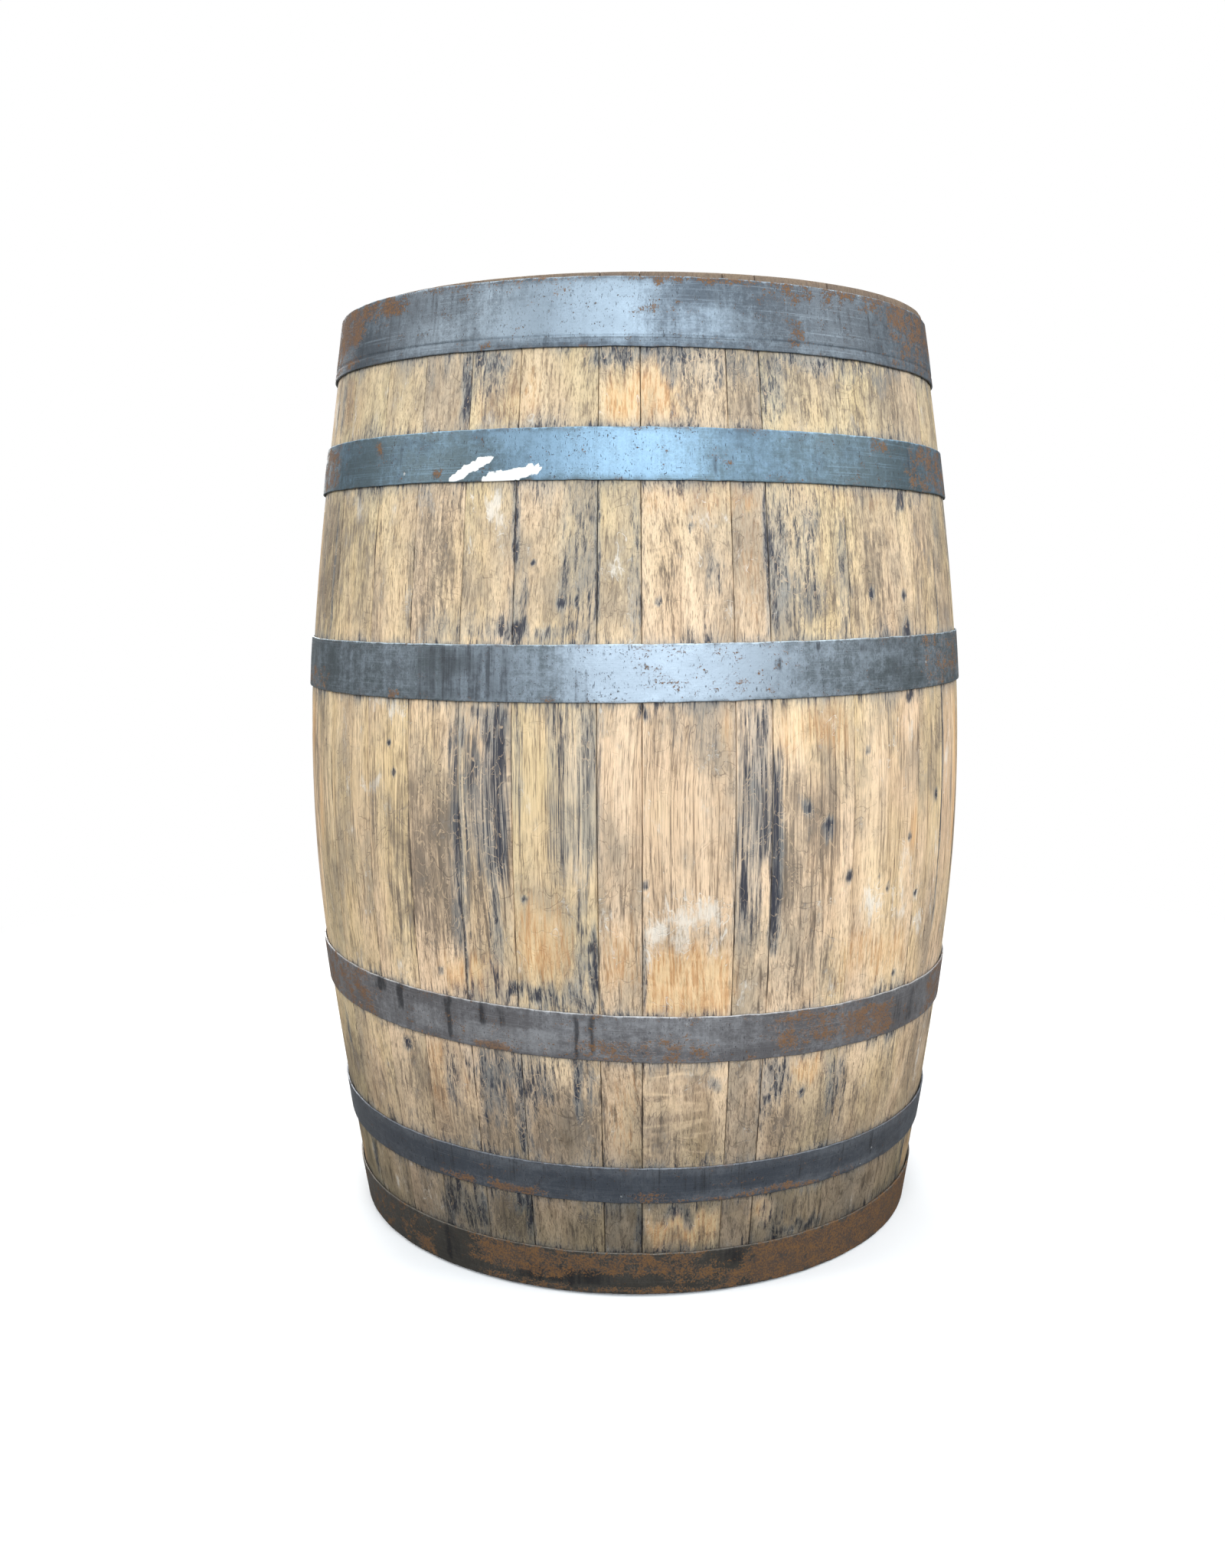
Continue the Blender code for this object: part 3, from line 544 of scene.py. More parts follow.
def build_stave(name, index, material):
    """A bent stave with its marks and relief. The bung stave is whole here: the bung's hole isn't cut."""
    rng = np.random.default_rng(STAVE_SEED + index)
    low, high = bearing_range(name)
    middle = (low + high) / 2
    facing = abs((middle + 180.0) % 360.0 - 180.0)
    coarseness = 1.0 if facing < FRONT_REACH else HIDDEN_COARSENESS
    width = math.radians(high - low) * BILGE_RADIUS
    heights = row_heights(ROW_PITCH * 0.7 * coarseness)
    distances = column_distances(width, COLUMN_PITCH * coarseness)

    share, height = np.meshgrid(distances / width, heights)
    bearing = low + (high - low) * share
    scale = outer_radius(height) / BILGE_RADIUS
    edge_distance = np.minimum(share, 1.0 - share) * width * scale
    from_end = np.minimum(height, HEIGHT - height)

    offset = STAVE_STEP * rng.uniform(-1.0, 1.0)
    relief = offset + STAVE_WAVE * noise(bearing * 0.25, height * 9.0, index, octaves=2)
    relief = relief - STAVE_CUPPING * (2.0 * share - 1.0) ** 2
    gouges = np.clip(noise(bearing * 2.2, height * 5.0, index + 0.5, octaves=3), 0, 1)
    relief = relief - GOUGE_DEPTH * gouges
    wear = noise(height * 25.0, index, np.where(share < 0.5, 0.0, 5.0), 3)
    edge_radius = 0.0005 + 0.0004 * (1.0 + wear)
    relief = relief - rounding_drop(edge_distance, edge_radius)
    relief = relief - rounding_drop(from_end, CHIME_ROUNDING)

    marks = STAVE_MARKS
    if facing > RANDOM_FROM:
        marks = marks + random_marks(low, high, rng)
    bearing_signed = (bearing + 180.0) % 360.0 - 180.0 if facing < BACK_FROM else bearing
    layers = stave_marks(bearing_signed, height, marks)
    layers[0] = np.maximum(layers[0], hoop_stains(bearing, height))
    for knot_bearing, knot_height, knot_radius in KNOTS:
        aside = np.radians(bearing_signed - knot_bearing) * outer_radius(height)
        away = np.hypot(aside, (height - knot_height) * 0.8) / knot_radius
        layers[0] = np.maximum(layers[0], 1.5 * np.exp(-away * away))
        relief = relief - KNOT_DEPTH * np.exp(-away * away)

    outside = outer_radius(height) + relief
    inner_share, inner_height = np.meshgrid(INNER_SHARES, heights)
    inner_bearing = low + (high - low) * inner_share
    inside = inner_radius(inner_height)

    all_bearing = np.radians(np.hstack([bearing, inner_bearing]))
    radius = np.hstack([outside, inside])
    all_height = np.hstack([height, inner_height])
    points = np.stack([radius * np.sin(all_bearing), -radius * np.cos(all_bearing), all_height], axis=-1)
    mesh = grid_mesh(name, points)

    blank = np.zeros((4, *inner_share.shape))
    marks_out = np.concatenate([layers, blank], axis=2)
    coming = 0.72 + 0.45 * noise(height * 7.0, index + np.where(share < 0.5, 0.0, 0.6), 4.0, octaves=2)
    dirt = np.clip(coming, 0.2, 1.0) * np.exp(-edge_distance / SEAM_FADE)
    seam = np.hstack([dirt, np.zeros(inner_share.shape)])
    fleck = np.zeros(all_bearing.shape)
    for fleck_bearing, fleck_low, fleck_high in FLECKED:
        if low < fleck_bearing < high:
            fleck = np.maximum(fleck, window(all_height, fleck_low, fleck_high, 0.04))
    inner_from_end = np.minimum(inner_height, HEIGHT - inner_height)
    charred = np.hstack([np.zeros(share.shape), smooth((inner_from_end - CROZE_CENTRE) / 0.004)])
    tones = [own for start, own in STAVE_TONES if abs(start - low) < 1.0]
    tone = np.full(all_bearing.shape, tones[0] if tones else rng.random())
    traits = np.stack([seam, fleck, charred, tone], axis=-1)
    across = np.hstack([share * width * scale, inner_share * width * scale[:, :len(INNER_SHARES)]])
    shift_across, shift_through = (shift * index for shift in STAVE_GRAIN_SHIFTS)
    grain = np.stack([across + shift_across, radius - BILGE_RADIUS + shift_through, all_height], axis=-1)
    add_attribute(mesh, "marks", "FLOAT_COLOR", np.moveaxis(marks_out, 0, -1))
    add_attribute(mesh, "traits", "FLOAT_COLOR", traits)
    add_attribute(mesh, "grain", "FLOAT_VECTOR", grain)
    shade(mesh)
    add_piece("oak_" + name, mesh, material, "barrel", name)


# ---- Hoops and rivets ----

LAP_ANGLE = 10.0              # degrees of overlap
TURN_STEP = 0.5
RAMP_START, RAMP_END = 353.0, 359.0     # where the strip rises on to its own end
DENTS_END, DENTS_FADE = 345.0, 10.0     # the lap itself has no dents
STRIP_GRAIN_SHIFT = 0.9
STROKE_HALF = 0.12            # a paint stroke's half width, as a share of the strip's width
CLIPPED_CORNER = 0.006        # the corners cut off the strip's ends
RIVET_HEAD_RADIUS = 0.0070
RIVET_HEAD_HEIGHT = 0.0032
SHANK_RADIUS = 0.0026
RIVET_SEAT = 2 * HOOP_THICKNESS + 2 * LAP_GAP
RIVET_SIDES = 28
STRIP_ROUNDING = 0.0006
STRIP_DENT = 0.00030
STRIP_RIPPLE = 0.00010
STRIP_DENT_LIMIT = 0.0004
STRIP_NICK = 0.0006
EDGE_FADE = 0.0012            # how far rust creeps in from the strip's edges
HOOP_SEED = 500
RANDOM_HOOP_MARKS = 34


def rivet_bearing(hoop, number):
    points = node_points(f"{hoop}_rivet_{number}")
    return math.degrees(math.atan2(points[:, 0].mean(), -points[:, 1].mean()))


def lap_bearing(hoop):
    first, second = rivet_bearing(hoop, 1), rivet_bearing(hoop, 2)
    return first + ((second - first + 180.0) % 360.0 - 180.0) / 2


def strip_distances(name, width):
    """Distances up the strip from its lower edge, closer together at its edges and its crease."""
    edge = [0.0, 0.0002, 0.0005, 0.0010]
    middle = list(np.arange(0.003, width - 0.002, 0.0032))
    if name == CREASED_HOOP:
        middle = [d for d in middle if abs(d - CREASE_HEIGHT) > 0.0035]
        middle += [CREASE_HEIGHT + step * 0.0009 for step in range(-3, 4)]
    return np.array(edge + sorted(middle) + [width - distance for distance in reversed(edge)])


def build_hoop(name, index, material):
    low, high, lean = HOOPS[name]
    width = high - low
    centre = lap_bearing(name)
    turn = np.arange(0.0, 360.0 + LAP_ANGLE + TURN_STEP / 2, TURN_STEP)
    outer = strip_distances(name, width)
    inner = np.array([width, width * 0.5, 0.0])
    distance = np.tile(np.concatenate([outer, inner]), (len(turn), 1))
    turns = np.tile(turn[:, None], (1, distance.shape[1]))
    is_outer = np.arange(distance.shape[1]) < len(outer)
    bearing = centre - LAP_ANGLE / 2 + turns
    around = np.radians(bearing)
    circle = (np.cos(around) * 5.0, np.sin(around) * 5.0)

    share = distance / width
    height = hoop_edge_height(name, share, bearing)
    nicks = noise(circle[0] * 4.0, circle[1] * 4.0, index + share, octaves=3)
    near_edge = np.abs(2.0 * share - 1.0) ** 6
    height = height + STRIP_NICK * nicks * near_edge
    from_tip = np.minimum(turns, 360.0 + LAP_ANGLE - turns) * math.radians(1.0) * BILGE_RADIUS
    clipped = CLIPPED_CORNER * np.clip(1.0 - from_tip / CLIPPED_CORNER, 0.0, 1.0)
    height = height - (2.0 * share - 1.0) * clipped

    lift = LAP_LIFT * smooth((turns - RAMP_START) / (RAMP_END - RAMP_START))
    dents = STRIP_DENT * noise(circle[0] * 1.6, circle[1] * 1.6, share * 1.5 + 3.0 * index, octaves=2)
    ripple = noise(circle[0] * 7.0, circle[1] * 7.0, share * 4.0 + index, octaves=2)
    dents = dents + STRIP_RIPPLE * ripple
    on_lap = np.maximum(smooth((turns - DENTS_END) / DENTS_FADE),
                        smooth((LAP_ANGLE + DENTS_FADE - turns) / DENTS_FADE))
    dents = np.clip(dents, -STRIP_DENT_LIMIT, STRIP_DENT_LIMIT) * (1.0 - on_lap)
    edge_distance = np.minimum(distance, width - distance)
    skin = HOOP_THICKNESS - rounding_drop(edge_distance, STRIP_ROUNDING)
    if name == CREASED_HOOP:
        skin = skin - CREASE_DEPTH * np.exp(-((distance - CREASE_HEIGHT) / CREASE_HALF) ** 2)
    offset = HOOP_CLEARANCE + lift + dents + np.where(is_outer, skin, 0.0)
    radius = outer_radius(height) + offset
    points = np.stack([radius * np.sin(around), -radius * np.cos(around), height], axis=-1)
    mesh = grid_mesh(name, points)

    kinds = {"rust": 0, "dark": 1, "paint": 2, "light": 3}
    layers = np.zeros((4, *turns.shape))
    signed = (bearing + 180.0) % 360.0 - 180.0
    wobble = noise(signed * 0.7, share * 3.0, index + 0.3, octaves=3)
    marks = HOOP_MARKS[name] + random_hoop_marks(index)
    for kind, first, last, bottom, top, strength in marks:
        if kind == "paint":
            mask = brush_stroke(signed, share, first, last, bottom, top)
        else:
            soft = min(14.0 if kind == "light" else 6.0, 0.8 * (last - first) + 0.3)
            across = window(signed + wobble, first, last, soft)
            mask = across * window(share + 0.05 * wobble, bottom, top, 0.2)
        np.maximum(layers[kinds[kind]], strength * mask, out=layers[kinds[kind]])
    edge = np.where(is_outer, np.exp(-edge_distance / EDGE_FADE), 0.4)
    # the upper edge's mask, which carries a painted highlight
    upper_edge_highlight = np.where(share > 0.5, edge, 0.0)
    blank = np.zeros(edge.shape)
    traits = np.stack([edge, upper_edge_highlight, blank, blank], axis=-1)
    arc = np.radians(turns) * BILGE_RADIUS
    grain = np.stack([arc, distance + STRIP_GRAIN_SHIFT * index, radius - BILGE_RADIUS], axis=-1)
    add_attribute(mesh, "marks", "FLOAT_COLOR", np.moveaxis(layers, 0, -1))
    add_attribute(mesh, "traits", "FLOAT_COLOR", traits)
    add_attribute(mesh, "grain", "FLOAT_VECTOR", grain)
    shade(mesh)
    add_piece("steel_" + name, mesh, material, "barrel", name)


def brush_stroke(bearing, share, first, last, bottom, top):
    """A stroke that rises from bottom to top, thick in its middle and pointed at its ends."""
    along = np.clip((bearing - first) / (last - first), 0.0, 1.0)
    centre = bottom + (top - bottom) * smooth(along) ** 0.8
    ragged = 1.0 + 0.3 * noise(bearing * 1.6, 4.0, octaves=2)
    half = STROKE_HALF * np.sqrt(4.0 * along * (1.0 - along)) * ragged
    return smooth((half - np.abs(share - centre)) / 0.05 + 0.5) * (half > 0.02)


def random_hoop_marks(index):
    """Rust, runs and lighter patches, painted highlights like the front's, on the part of a hoop that
    faces away from the front.
    """
    rng = np.random.default_rng(HOOP_SEED + index)
    marks = []
    for _ in range(RANDOM_HOOP_MARKS):
        kind = ("rust", "rust", "dark", "light")[rng.integers(4)]
        start = 80.0 + 200.0 * rng.random()
        reach = 2.5 + 16.0 * rng.random() ** 2
        bottom = rng.choice((0.0, 0.0, rng.random() * 0.8))
        first = (start + 180.0) % 360.0 - 180.0
        strength = (1.0 if kind == "rust" else 0.55) * (0.5 + 0.6 * rng.random())
        marks.append((kind, first, first + reach, bottom, bottom + 0.15 + 0.8 * rng.random(), strength))
    return marks


def strip_frame(hoop, bearing):
    """A frame on the strip's inner face, halfway up it, with Z pointing out through it."""
    ends = []
    for share in (0.0, 1.0):
        height = float(hoop_edge_height(hoop, share, bearing))
        radius = float(outer_radius(height)) + HOOP_CLEARANCE
        turn = math.radians(bearing)
        ends.append(Vector((radius * math.sin(turn), -radius * math.cos(turn), height)))
    up = (ends[1] - ends[0]).normalized()
    across = Vector((math.cos(math.radians(bearing)), math.sin(math.radians(bearing)), 0.0))
    outward = across.cross(up)
    placed = Matrix((across, up, outward)).transposed().to_4x4()
    placed.translation = (ends[0] + ends[1]) / 2
    return placed


def turned_mesh(name, profile, sides):
    """Turn an outline of (radius, height) points, which starts and ends on the axis, about Z."""
    builder = bmesh.new()
    corners = [builder.verts.new((radius, 0.0, height)) for radius, height in profile]
    edges = [builder.edges.new(pair) for pair in zip(corners, corners[1:])]
    bmesh.ops.spin(builder, geom=corners + edges, cent=(0, 0, 0), axis=(0, 0, 1),
                   angle=math.tau, steps=sides)
    bmesh.ops.remove_doubles(builder, verts=builder.verts, dist=1e-6)
    return write_mesh(builder, bpy.data.meshes.new(name))


def build_rivet(hoop, number, material):
    """A hammered dome on a plain shank."""
    name = f"{hoop}_rivet_{number}"
    dome = []
    for step in range(9):
        turn = math.radians(90.0 * step / 8)
        dome.append((RIVET_HEAD_RADIUS * math.sin(turn), RIVET_SEAT + RIVET_HEAD_HEIGHT * math.cos(turn)))
    profile = dome + [(RIVET_HEAD_RADIUS * 0.97, RIVET_SEAT + 0.0002), (SHANK_RADIUS, RIVET_SEAT),
                      (SHANK_RADIUS, LAP_GAP), (0.0, LAP_GAP)]
    mesh = turned_mesh(name, profile, RIVET_SIDES)
    seed = sum(map(ord, name))
    for vert in mesh.vertices:
        if vert.co.z > RIVET_SEAT + 0.0004:
            hammered = noise(vert.co.x * 260.0 + seed, vert.co.y * 260.0, 1.0, octaves=2)
            vert.co.z += 0.00035 * float(hammered)
            vert.co.x *= 1.0 + 0.04 * float(noise(seed, vert.co.y * 300.0, 5.0))
    mesh.transform(strip_frame(hoop, rivet_bearing(hoop, number)))
    shade(mesh, sharp_angle=50.0)
    add_piece("steel_" + name, mesh, material, "barrel", name)


# ---- Heads and bung ----

HEAD_THICKNESS = 0.022
RIM_THICKNESS = 0.0050
RIM_CLEARANCE = 0.0010
BEVEL_LENGTH = 0.022
TONGUE_WIDTH = 0.007
TONGUE_LENGTH = 0.006
BOARD_GAP = 0.0003
HEAD_SIDES = 144
EDGE_WEAR = 0.0007
BOARD_STEP = 0.0002           # how unevenly the boards lie
BOARD_GRAIN_SHIFT = 0.51
BOARD_TONES = (0.35, 0.7, 0.1, 0.85, 0.5)
BUNG_FACE_RADIUS = 0.0262
BUNG_TIP_RADIUS = 0.0243
BUNG_SIDES = 64
BUNG_TONE = 0.95
MALLET_DENT = 0.0005


def head_disc():
    rim = float(outer_radius(CROZE_CENTRE)) - STAVE_THICKNESS + CROZE_DEPTH - RIM_CLEARANCE
    neck = END_RADIUS - STAVE_THICKNESS - RIM_CLEARANCE
    half_rim, half = RIM_THICKNESS / 2, HEAD_THICKNESS / 2
    profile = [(0.0, half), (neck - BEVEL_LENGTH, half), (neck, half_rim), (rim, half_rim),
               (rim, -half_rim), (neck, -half_rim), (neck - BEVEL_LENGTH, -half), (0.0, -half)]
    return link_new("head_disc", turned_mesh("head_disc", profile, HEAD_SIDES))


def board_outline(left, right, has_groove, has_tongue):
    tall = HEAD_THICKNESS
    slot, tongue = TONGUE_WIDTH / 2 + BOARD_GAP, TONGUE_WIDTH / 2
    outline = [(left, tall), (left, -tall), (right, -tall), (right, tall)]
    if has_tongue:
        outline[3:3] = [(right, -tongue), (right + TONGUE_LENGTH, -tongue),
                        (right + TONGUE_LENGTH, tongue), (right, tongue)]
    if has_groove:
        depth = left + TONGUE_LENGTH + 2 * BOARD_GAP
        outline[1:1] = [(left, slot), (depth, slot), (depth, -slot), (left, -slot)]
    return outline


def build_head(prefix, material):
    """Boards with tongue-and-groove edges, trimmed to the round head, with worn corners."""
    names = [f"{prefix}_board_{number}" for number in range(1, 6)]
    height = sum(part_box(names[2])[corner][2] for corner in (0, 1)) / 2
    lefts = [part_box(name)[0][0] for name in names]
    rights = [left - BOARD_GAP for left in lefts[1:]] + [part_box(names[-1])[1][0] + 0.001]
    lefts[0] -= 0.001
    disc = head_disc()
    for number, (name, left, right) in enumerate(zip(names, lefts, rights)):
        outline = board_outline(left, right, number > 0, number < len(names) - 1)
        builder = bmesh.new()
        corners = [builder.verts.new((x, -END_RADIUS, z)) for x, z in outline]
        swept = bmesh.ops.extrude_face_region(builder, geom=[builder.faces.new(corners)],
                                              use_keep_orig=True)
        moved = [item for item in swept["geom"] if isinstance(item, bmesh.types.BMVert)]
        bmesh.ops.translate(builder, verts=moved, vec=(0.0, 2 * END_RADIUS, 0.0))
        blank = link_new("blank", write_mesh(builder, bpy.data.meshes.new(name)))
        trim = blank.modifiers.new("trim", "BOOLEAN")
        trim.operation = "INTERSECT"
        trim.solver = "EXACT"
        trim.object = disc
        wear = blank.modifiers.new("wear", "BEVEL")
        wear.width = EDGE_WEAR
        wear.segments = 2
        wear.limit_method = "ANGLE"
        wear.angle_limit = math.radians(35.0)
        evaluated = blank.evaluated_get(bpy.context.evaluated_depsgraph_get())
        mesh = bpy.data.meshes.new_from_object(evaluated)
        mesh.name = name
        bpy.data.objects.remove(blank)
        mesh.transform(Matrix.Translation((0.0, 0.0, height + BOARD_STEP * (number % 3))))
        grain = mesh_points(mesh)[:, (0, 2, 1)] + (BOARD_GRAIN_SHIFT * number, 0.0, 0.0)
        add_plain_attributes(mesh, grain, BOARD_TONES[number])
        shade(mesh, sharp_angle=30.0)
        add_piece("oak_" + name, mesh, material, "barrel", name)
    bpy.data.objects.remove(disc)


def build_bung(material):
    """A turned plug with a slightly dished, mallet-marked face."""
    low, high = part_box("bung")
    centre = [(a + b) / 2 for a, b in zip(low, high)]
    depth = high[1] - low[1]
    profile = [(0.0, 0.0), (0.006, 0.0), (0.012, 0.0), (0.018, -0.0002), (0.022, -0.0002),
               (BUNG_FACE_RADIUS - 0.0022, -0.0003), (BUNG_FACE_RADIUS - 0.0010, -0.0009),
               (BUNG_FACE_RADIUS - 0.0002, -0.0024), (BUNG_FACE_RADIUS - 0.0004, -0.008),
               (BUNG_TIP_RADIUS, -depth + 0.003), (BUNG_TIP_RADIUS - 0.002, -depth), (0.0, -depth)]
    mesh = turned_mesh("bung", profile, BUNG_SIDES)
    for vert in mesh.vertices:
        if vert.co.z > -0.001:
            dent = float(noise(vert.co.x * 110.0, vert.co.y * 110.0, 2.0, octaves=2))
            vert.co.z -= MALLET_DENT * max(0.0, dent)
    add_plain_attributes(mesh, mesh_points(mesh)[:, (0, 2, 1)] + (0.2, 0.1, 0.4), BUNG_TONE)
    face = Matrix.Translation((centre[0], high[1], centre[2]))
    mesh.transform(face @ Matrix.Rotation(-math.pi / 2, 4, "X"))
    shade(mesh)
    add_piece("poplar_bung", mesh, material, "bung", "bung")


# ---- Materials ----

class Shader:
    """A material whose nodes are added by calls that return their output sockets."""

    def __init__(self, name):
        self.material = bpy.data.materials.new(name)
        self.material.use_nodes = True
        self.tree = self.material.node_tree
        self.surface = self.tree.nodes["Principled BSDF"]

    def put(self, socket, value):
        if isinstance(value, bpy.types.NodeSocket):
            self.tree.links.new(value, socket)
        elif hasattr(value, "__len__") and len(value) == 3 and socket.type == "RGBA":
            socket.default_value = (*value, 1.0)
        else:
            socket.default_value = value

    def add(self, kind, inputs, output=0, **settings):
        node = self.tree.nodes.new("ShaderNode" + kind)
        for setting, value in settings.items():
            setattr(node, setting, value)
        for socket, value in inputs.items():
            self.put(node.inputs[socket], value)
        return node.outputs[output]

    def attribute(self, name, output="Color"):
        return self.add("Attribute", {}, output, attribute_name=name)

    def split(self, colour):
        node = self.tree.nodes.new("ShaderNodeSeparateColor")
        self.put(node.inputs[0], colour)
        return node.outputs[0], node.outputs[1], node.outputs[2]

    def scaled(self, vector, scale):
        return self.add("VectorMath", {0: vector, 1: scale}, operation="MULTIPLY")

    def moved(self, vector, offset):
        return self.add("VectorMath", {0: vector, 1: offset}, operation="ADD")

    def noise(self, vector, scale, detail=2.0, roughness=0.5, distortion=0.0):
        """Fractal noise about 0.5, with its contrast doubled."""
        raw = self.add("TexNoise", {"Vector": self.scaled(vector, scale), "Scale": 1.0, "Detail": detail,
                                    "Roughness": roughness, "Distortion": distortion})
        return self.add("MapRange", {0: raw, 1: 0.25, 2: 0.75})

    def threads(self, noise, width):
        """Thin winding lines where the noise passes through its middle value."""
        away = self.add("Math", {0: self.sum(noise, -0.5)}, operation="ABSOLUTE")
        return self.span(away, 0.0, width, 1.0, 0.0)

    def span(self, value, low, high, start=0.0, end=1.0):
        """Carry low…high to start…end, held at the ends."""
        return self.add("MapRange", {0: value, 1: low, 2: high, 3: start, 4: end},
                        interpolation_type="SMOOTHSTEP")

    def sum(self, *values):
        """Add up sockets, (socket, weight) pairs and numbers."""
        return self.chain("ADD", [self.product(*value) if isinstance(value, tuple) else value
                                  for value in values])

    def product(self, *values):
        return self.chain("MULTIPLY", values)

    def largest(self, *values):
        return self.chain("MAXIMUM", values)

    def chain(self, operation, values):
        """Join two or more sockets or numbers by one arithmetic operation."""
        total = values[0]
        for value in values[1:]:
            total = self.add("Math", {0: total, 1: value}, operation=operation)
        return total

    def mix(self, share, first, second, blend="MIX"):
        return self.add("Mix", {0: share, 6: first, 7: second}, 2, data_type="RGBA", blend_type=blend)

    def bump(self, height, depth, strength):
        return self.add("Bump", {"Height": height, "Distance": depth, "Strength": strength})

    def finish(self, **sockets):
        for name, value in sockets.items():
            self.put(self.surface.inputs[name.replace("_", " ")], value)
        return self.material


# Linear colours of the oak
OAK_LIGHT = (0.810, 0.615, 0.385)
OAK_HONEY = (0.540, 0.375, 0.195)
OAK_OLIVE = (0.430, 0.390, 0.245)
OAK_YELLOW = (0.820, 0.640, 0.370)
OAK_PEACH = (0.830, 0.600, 0.440)
OAK_LINE = (0.195, 0.130, 0.080)
OAK_DEEP = (0.110, 0.080, 0.060)
OAK_CLOUD = (0.270, 0.225, 0.170)
OAK_PALE = (0.800, 0.740, 0.650)
OAK_WARM = (0.600, 0.310, 0.120)
OAK_GLOW = (0.800, 0.560, 0.300)
OAK_GRIME = (0.140, 0.110, 0.085)
OAK_WASH = (0.190, 0.215, 0.225)
OAK_STAIN = (0.026, 0.028, 0.042)
OAK_CHIME = (0.120, 0.082, 0.058)
# painted shade: darkens the staves' upper part towards the top
OAK_SHOULDER_SHADE = (0.760, 0.810, 0.810)      # multiplies the colour
# painted shade: darkens the staves towards the foot
OAK_FOOT_SHADE = (0.200, 0.215, 0.225)          # multiplies the colour
OAK_SEAM = (0.060, 0.045, 0.038)
OAK_CHAR = (0.030, 0.022, 0.017)
OAK_END = (0.260, 0.200, 0.140)
OAK_FLECK = (0.900, 0.660, 0.420)


def oak_material(name, weathered=1.0, upright=True):
    """Oak along its grain: growth lines, pores, weather, iron stain, dirt in the seams, and painted shade
    towards the top and the foot of the staves.
    """
    s = Shader(name)
    marks, traits = s.attribute("marks"), s.attribute("traits")
    stain, grime, pale = s.split(marks)
    warm = s.attribute("marks", "Alpha")
    seam, fleck, charred = s.split(traits)
    tone = s.attribute("traits", "Alpha")
    grain = s.attribute("grain", "Vector")

    sway = s.noise(grain, (7.0, 7.0, 2.4), 2.0)
    sway = s.add("CombineXYZ", {0: s.span(sway, 0.0, 1.0, -0.007, 0.007), 1: 0.0, 2: 0.0})
    flowing = s.moved(grain, sway)
    bands = s.noise(flowing, (55.0, 55.0, 1.5), 4.0, 0.6)
    lines = s.noise(flowing, (430.0, 430.0, 4.2), 4.0, 0.68)
    fibres = s.noise(flowing, (1700.0, 1700.0, 26.0), 3.0, 0.65)
    pores = s.noise(flowing, (1150.0, 1150.0, 48.0), 1.0, 0.5)
    weather = s.noise(grain, (46.0, 46.0, 24.0), 7.0, 0.70)
    cloud = s.noise(grain, (13.0, 13.0, 7.0), 7.0, 0.66)
    patch = s.noise(grain, (9.0, 9.0, 4.0), 3.0, 0.55)
    scuffs = s.threads(s.noise(grain, (26.0, 26.0, 17.0), 3.0, 0.6, 1.2), 0.022)
    hairs = s.threads(s.noise(grain, (75.0, 75.0, 45.0), 2.0, 0.6, 0.8), 0.035)

    # sound oak: tone bands, growth lines, fibres and pores
    hue = s.mix(s.span(s.sum(tone, (patch, 1.6), -0.8), 0.0, 1.0), OAK_YELLOW, OAK_PEACH)
    hue = s.mix(s.span(s.sum(tone, (patch, 0.5), -0.25), 0.45, 0.0, 0.0, 0.8), hue, OAK_OLIVE)
    colour = s.mix(s.span(bands, 0.20, 0.80), OAK_HONEY, OAK_LIGHT)
    colour = s.mix(0.50, colour, hue)
    line_share = s.product(s.span(lines, 0.50, 0.80, 0.0, 0.84), s.span(bands, 0.20, 0.80, 1.0, 0.40))
    colour = s.mix(line_share, colour, OAK_LINE)
    colour = s.mix(s.span(lines, 0.42, 0.15, 0.0, 0.35), colour, OAK_FLECK)
    colour = s.mix(s.span(fibres, 0.50, 0.90, 0.0, 0.50), colour, OAK_LINE)
    colour = s.mix(s.span(pores, 0.70, 0.90, 0.0, 0.60), colour, OAK_DEEP)

    # ray flecks: wavy bright bands across the grain
    rays = s.threads(s.noise(grain, (13.0, 13.0, 50.0), 2.0, 0.5, 0.7), 0.17)
    colour = s.mix(s.product(fleck, s.span(bands, 0.75, 0.25), 0.35), colour, OAK_LINE)
    colour = s.mix(s.product(fleck, rays, s.span(cloud, 0.25, 0.60), 0.85), colour, OAK_FLECK)

    # painted shade towards the top, then weather
    height = s.add("SeparateXYZ", {0: grain}, 2)
    if upright:
        # painted shade: the upper part of each stave is darkened towards the top
        shoulder_shade_share = s.span(height, 0.50, 0.84, 0.0, 0.85)
        colour = s.mix(shoulder_shade_share, colour, OAK_SHOULDER_SHADE, "MULTIPLY")
    aged = s.span(height, 0.46, 0.62) if upright else 0.5
    cloud_seed = s.sum(cloud, (weather, 0.45), (aged, 0.09))
    cloud_share = s.span(cloud_seed, 0.60, 1.10, 0.0, 0.70 * weathered)
    colour = s.mix(cloud_share, colour, OAK_CLOUD)
    colour = s.mix(s.span(weather, 0.64, 0.98, 0.0, 0.38 * weathered), colour, OAK_PALE)
    colour = s.mix(s.span(weather, 0.40, 0.05, 0.0, 0.50 * weathered), colour, OAK_LINE)
    runs = s.noise(flowing, (210.0, 210.0, 3.0), 6.0, 0.70)
    run_share = s.product(s.span(runs, 0.54, 0.84, 0.0, 0.90 * weathered),
                          s.span(cloud, 0.30, 0.65, 0.40, 1.0))
    colour = s.mix(s.product(run_share, s.span(aged, 0.0, 1.0, 1.0, 0.60)), colour, OAK_DEEP)
    scratch_share = s.product(s.largest(scuffs, s.product(hairs, 0.7)), s.span(cloud, 0.40, 0.75),
                              0.6 * weathered)
    colour = s.mix(scratch_share, colour, OAK_DEEP)

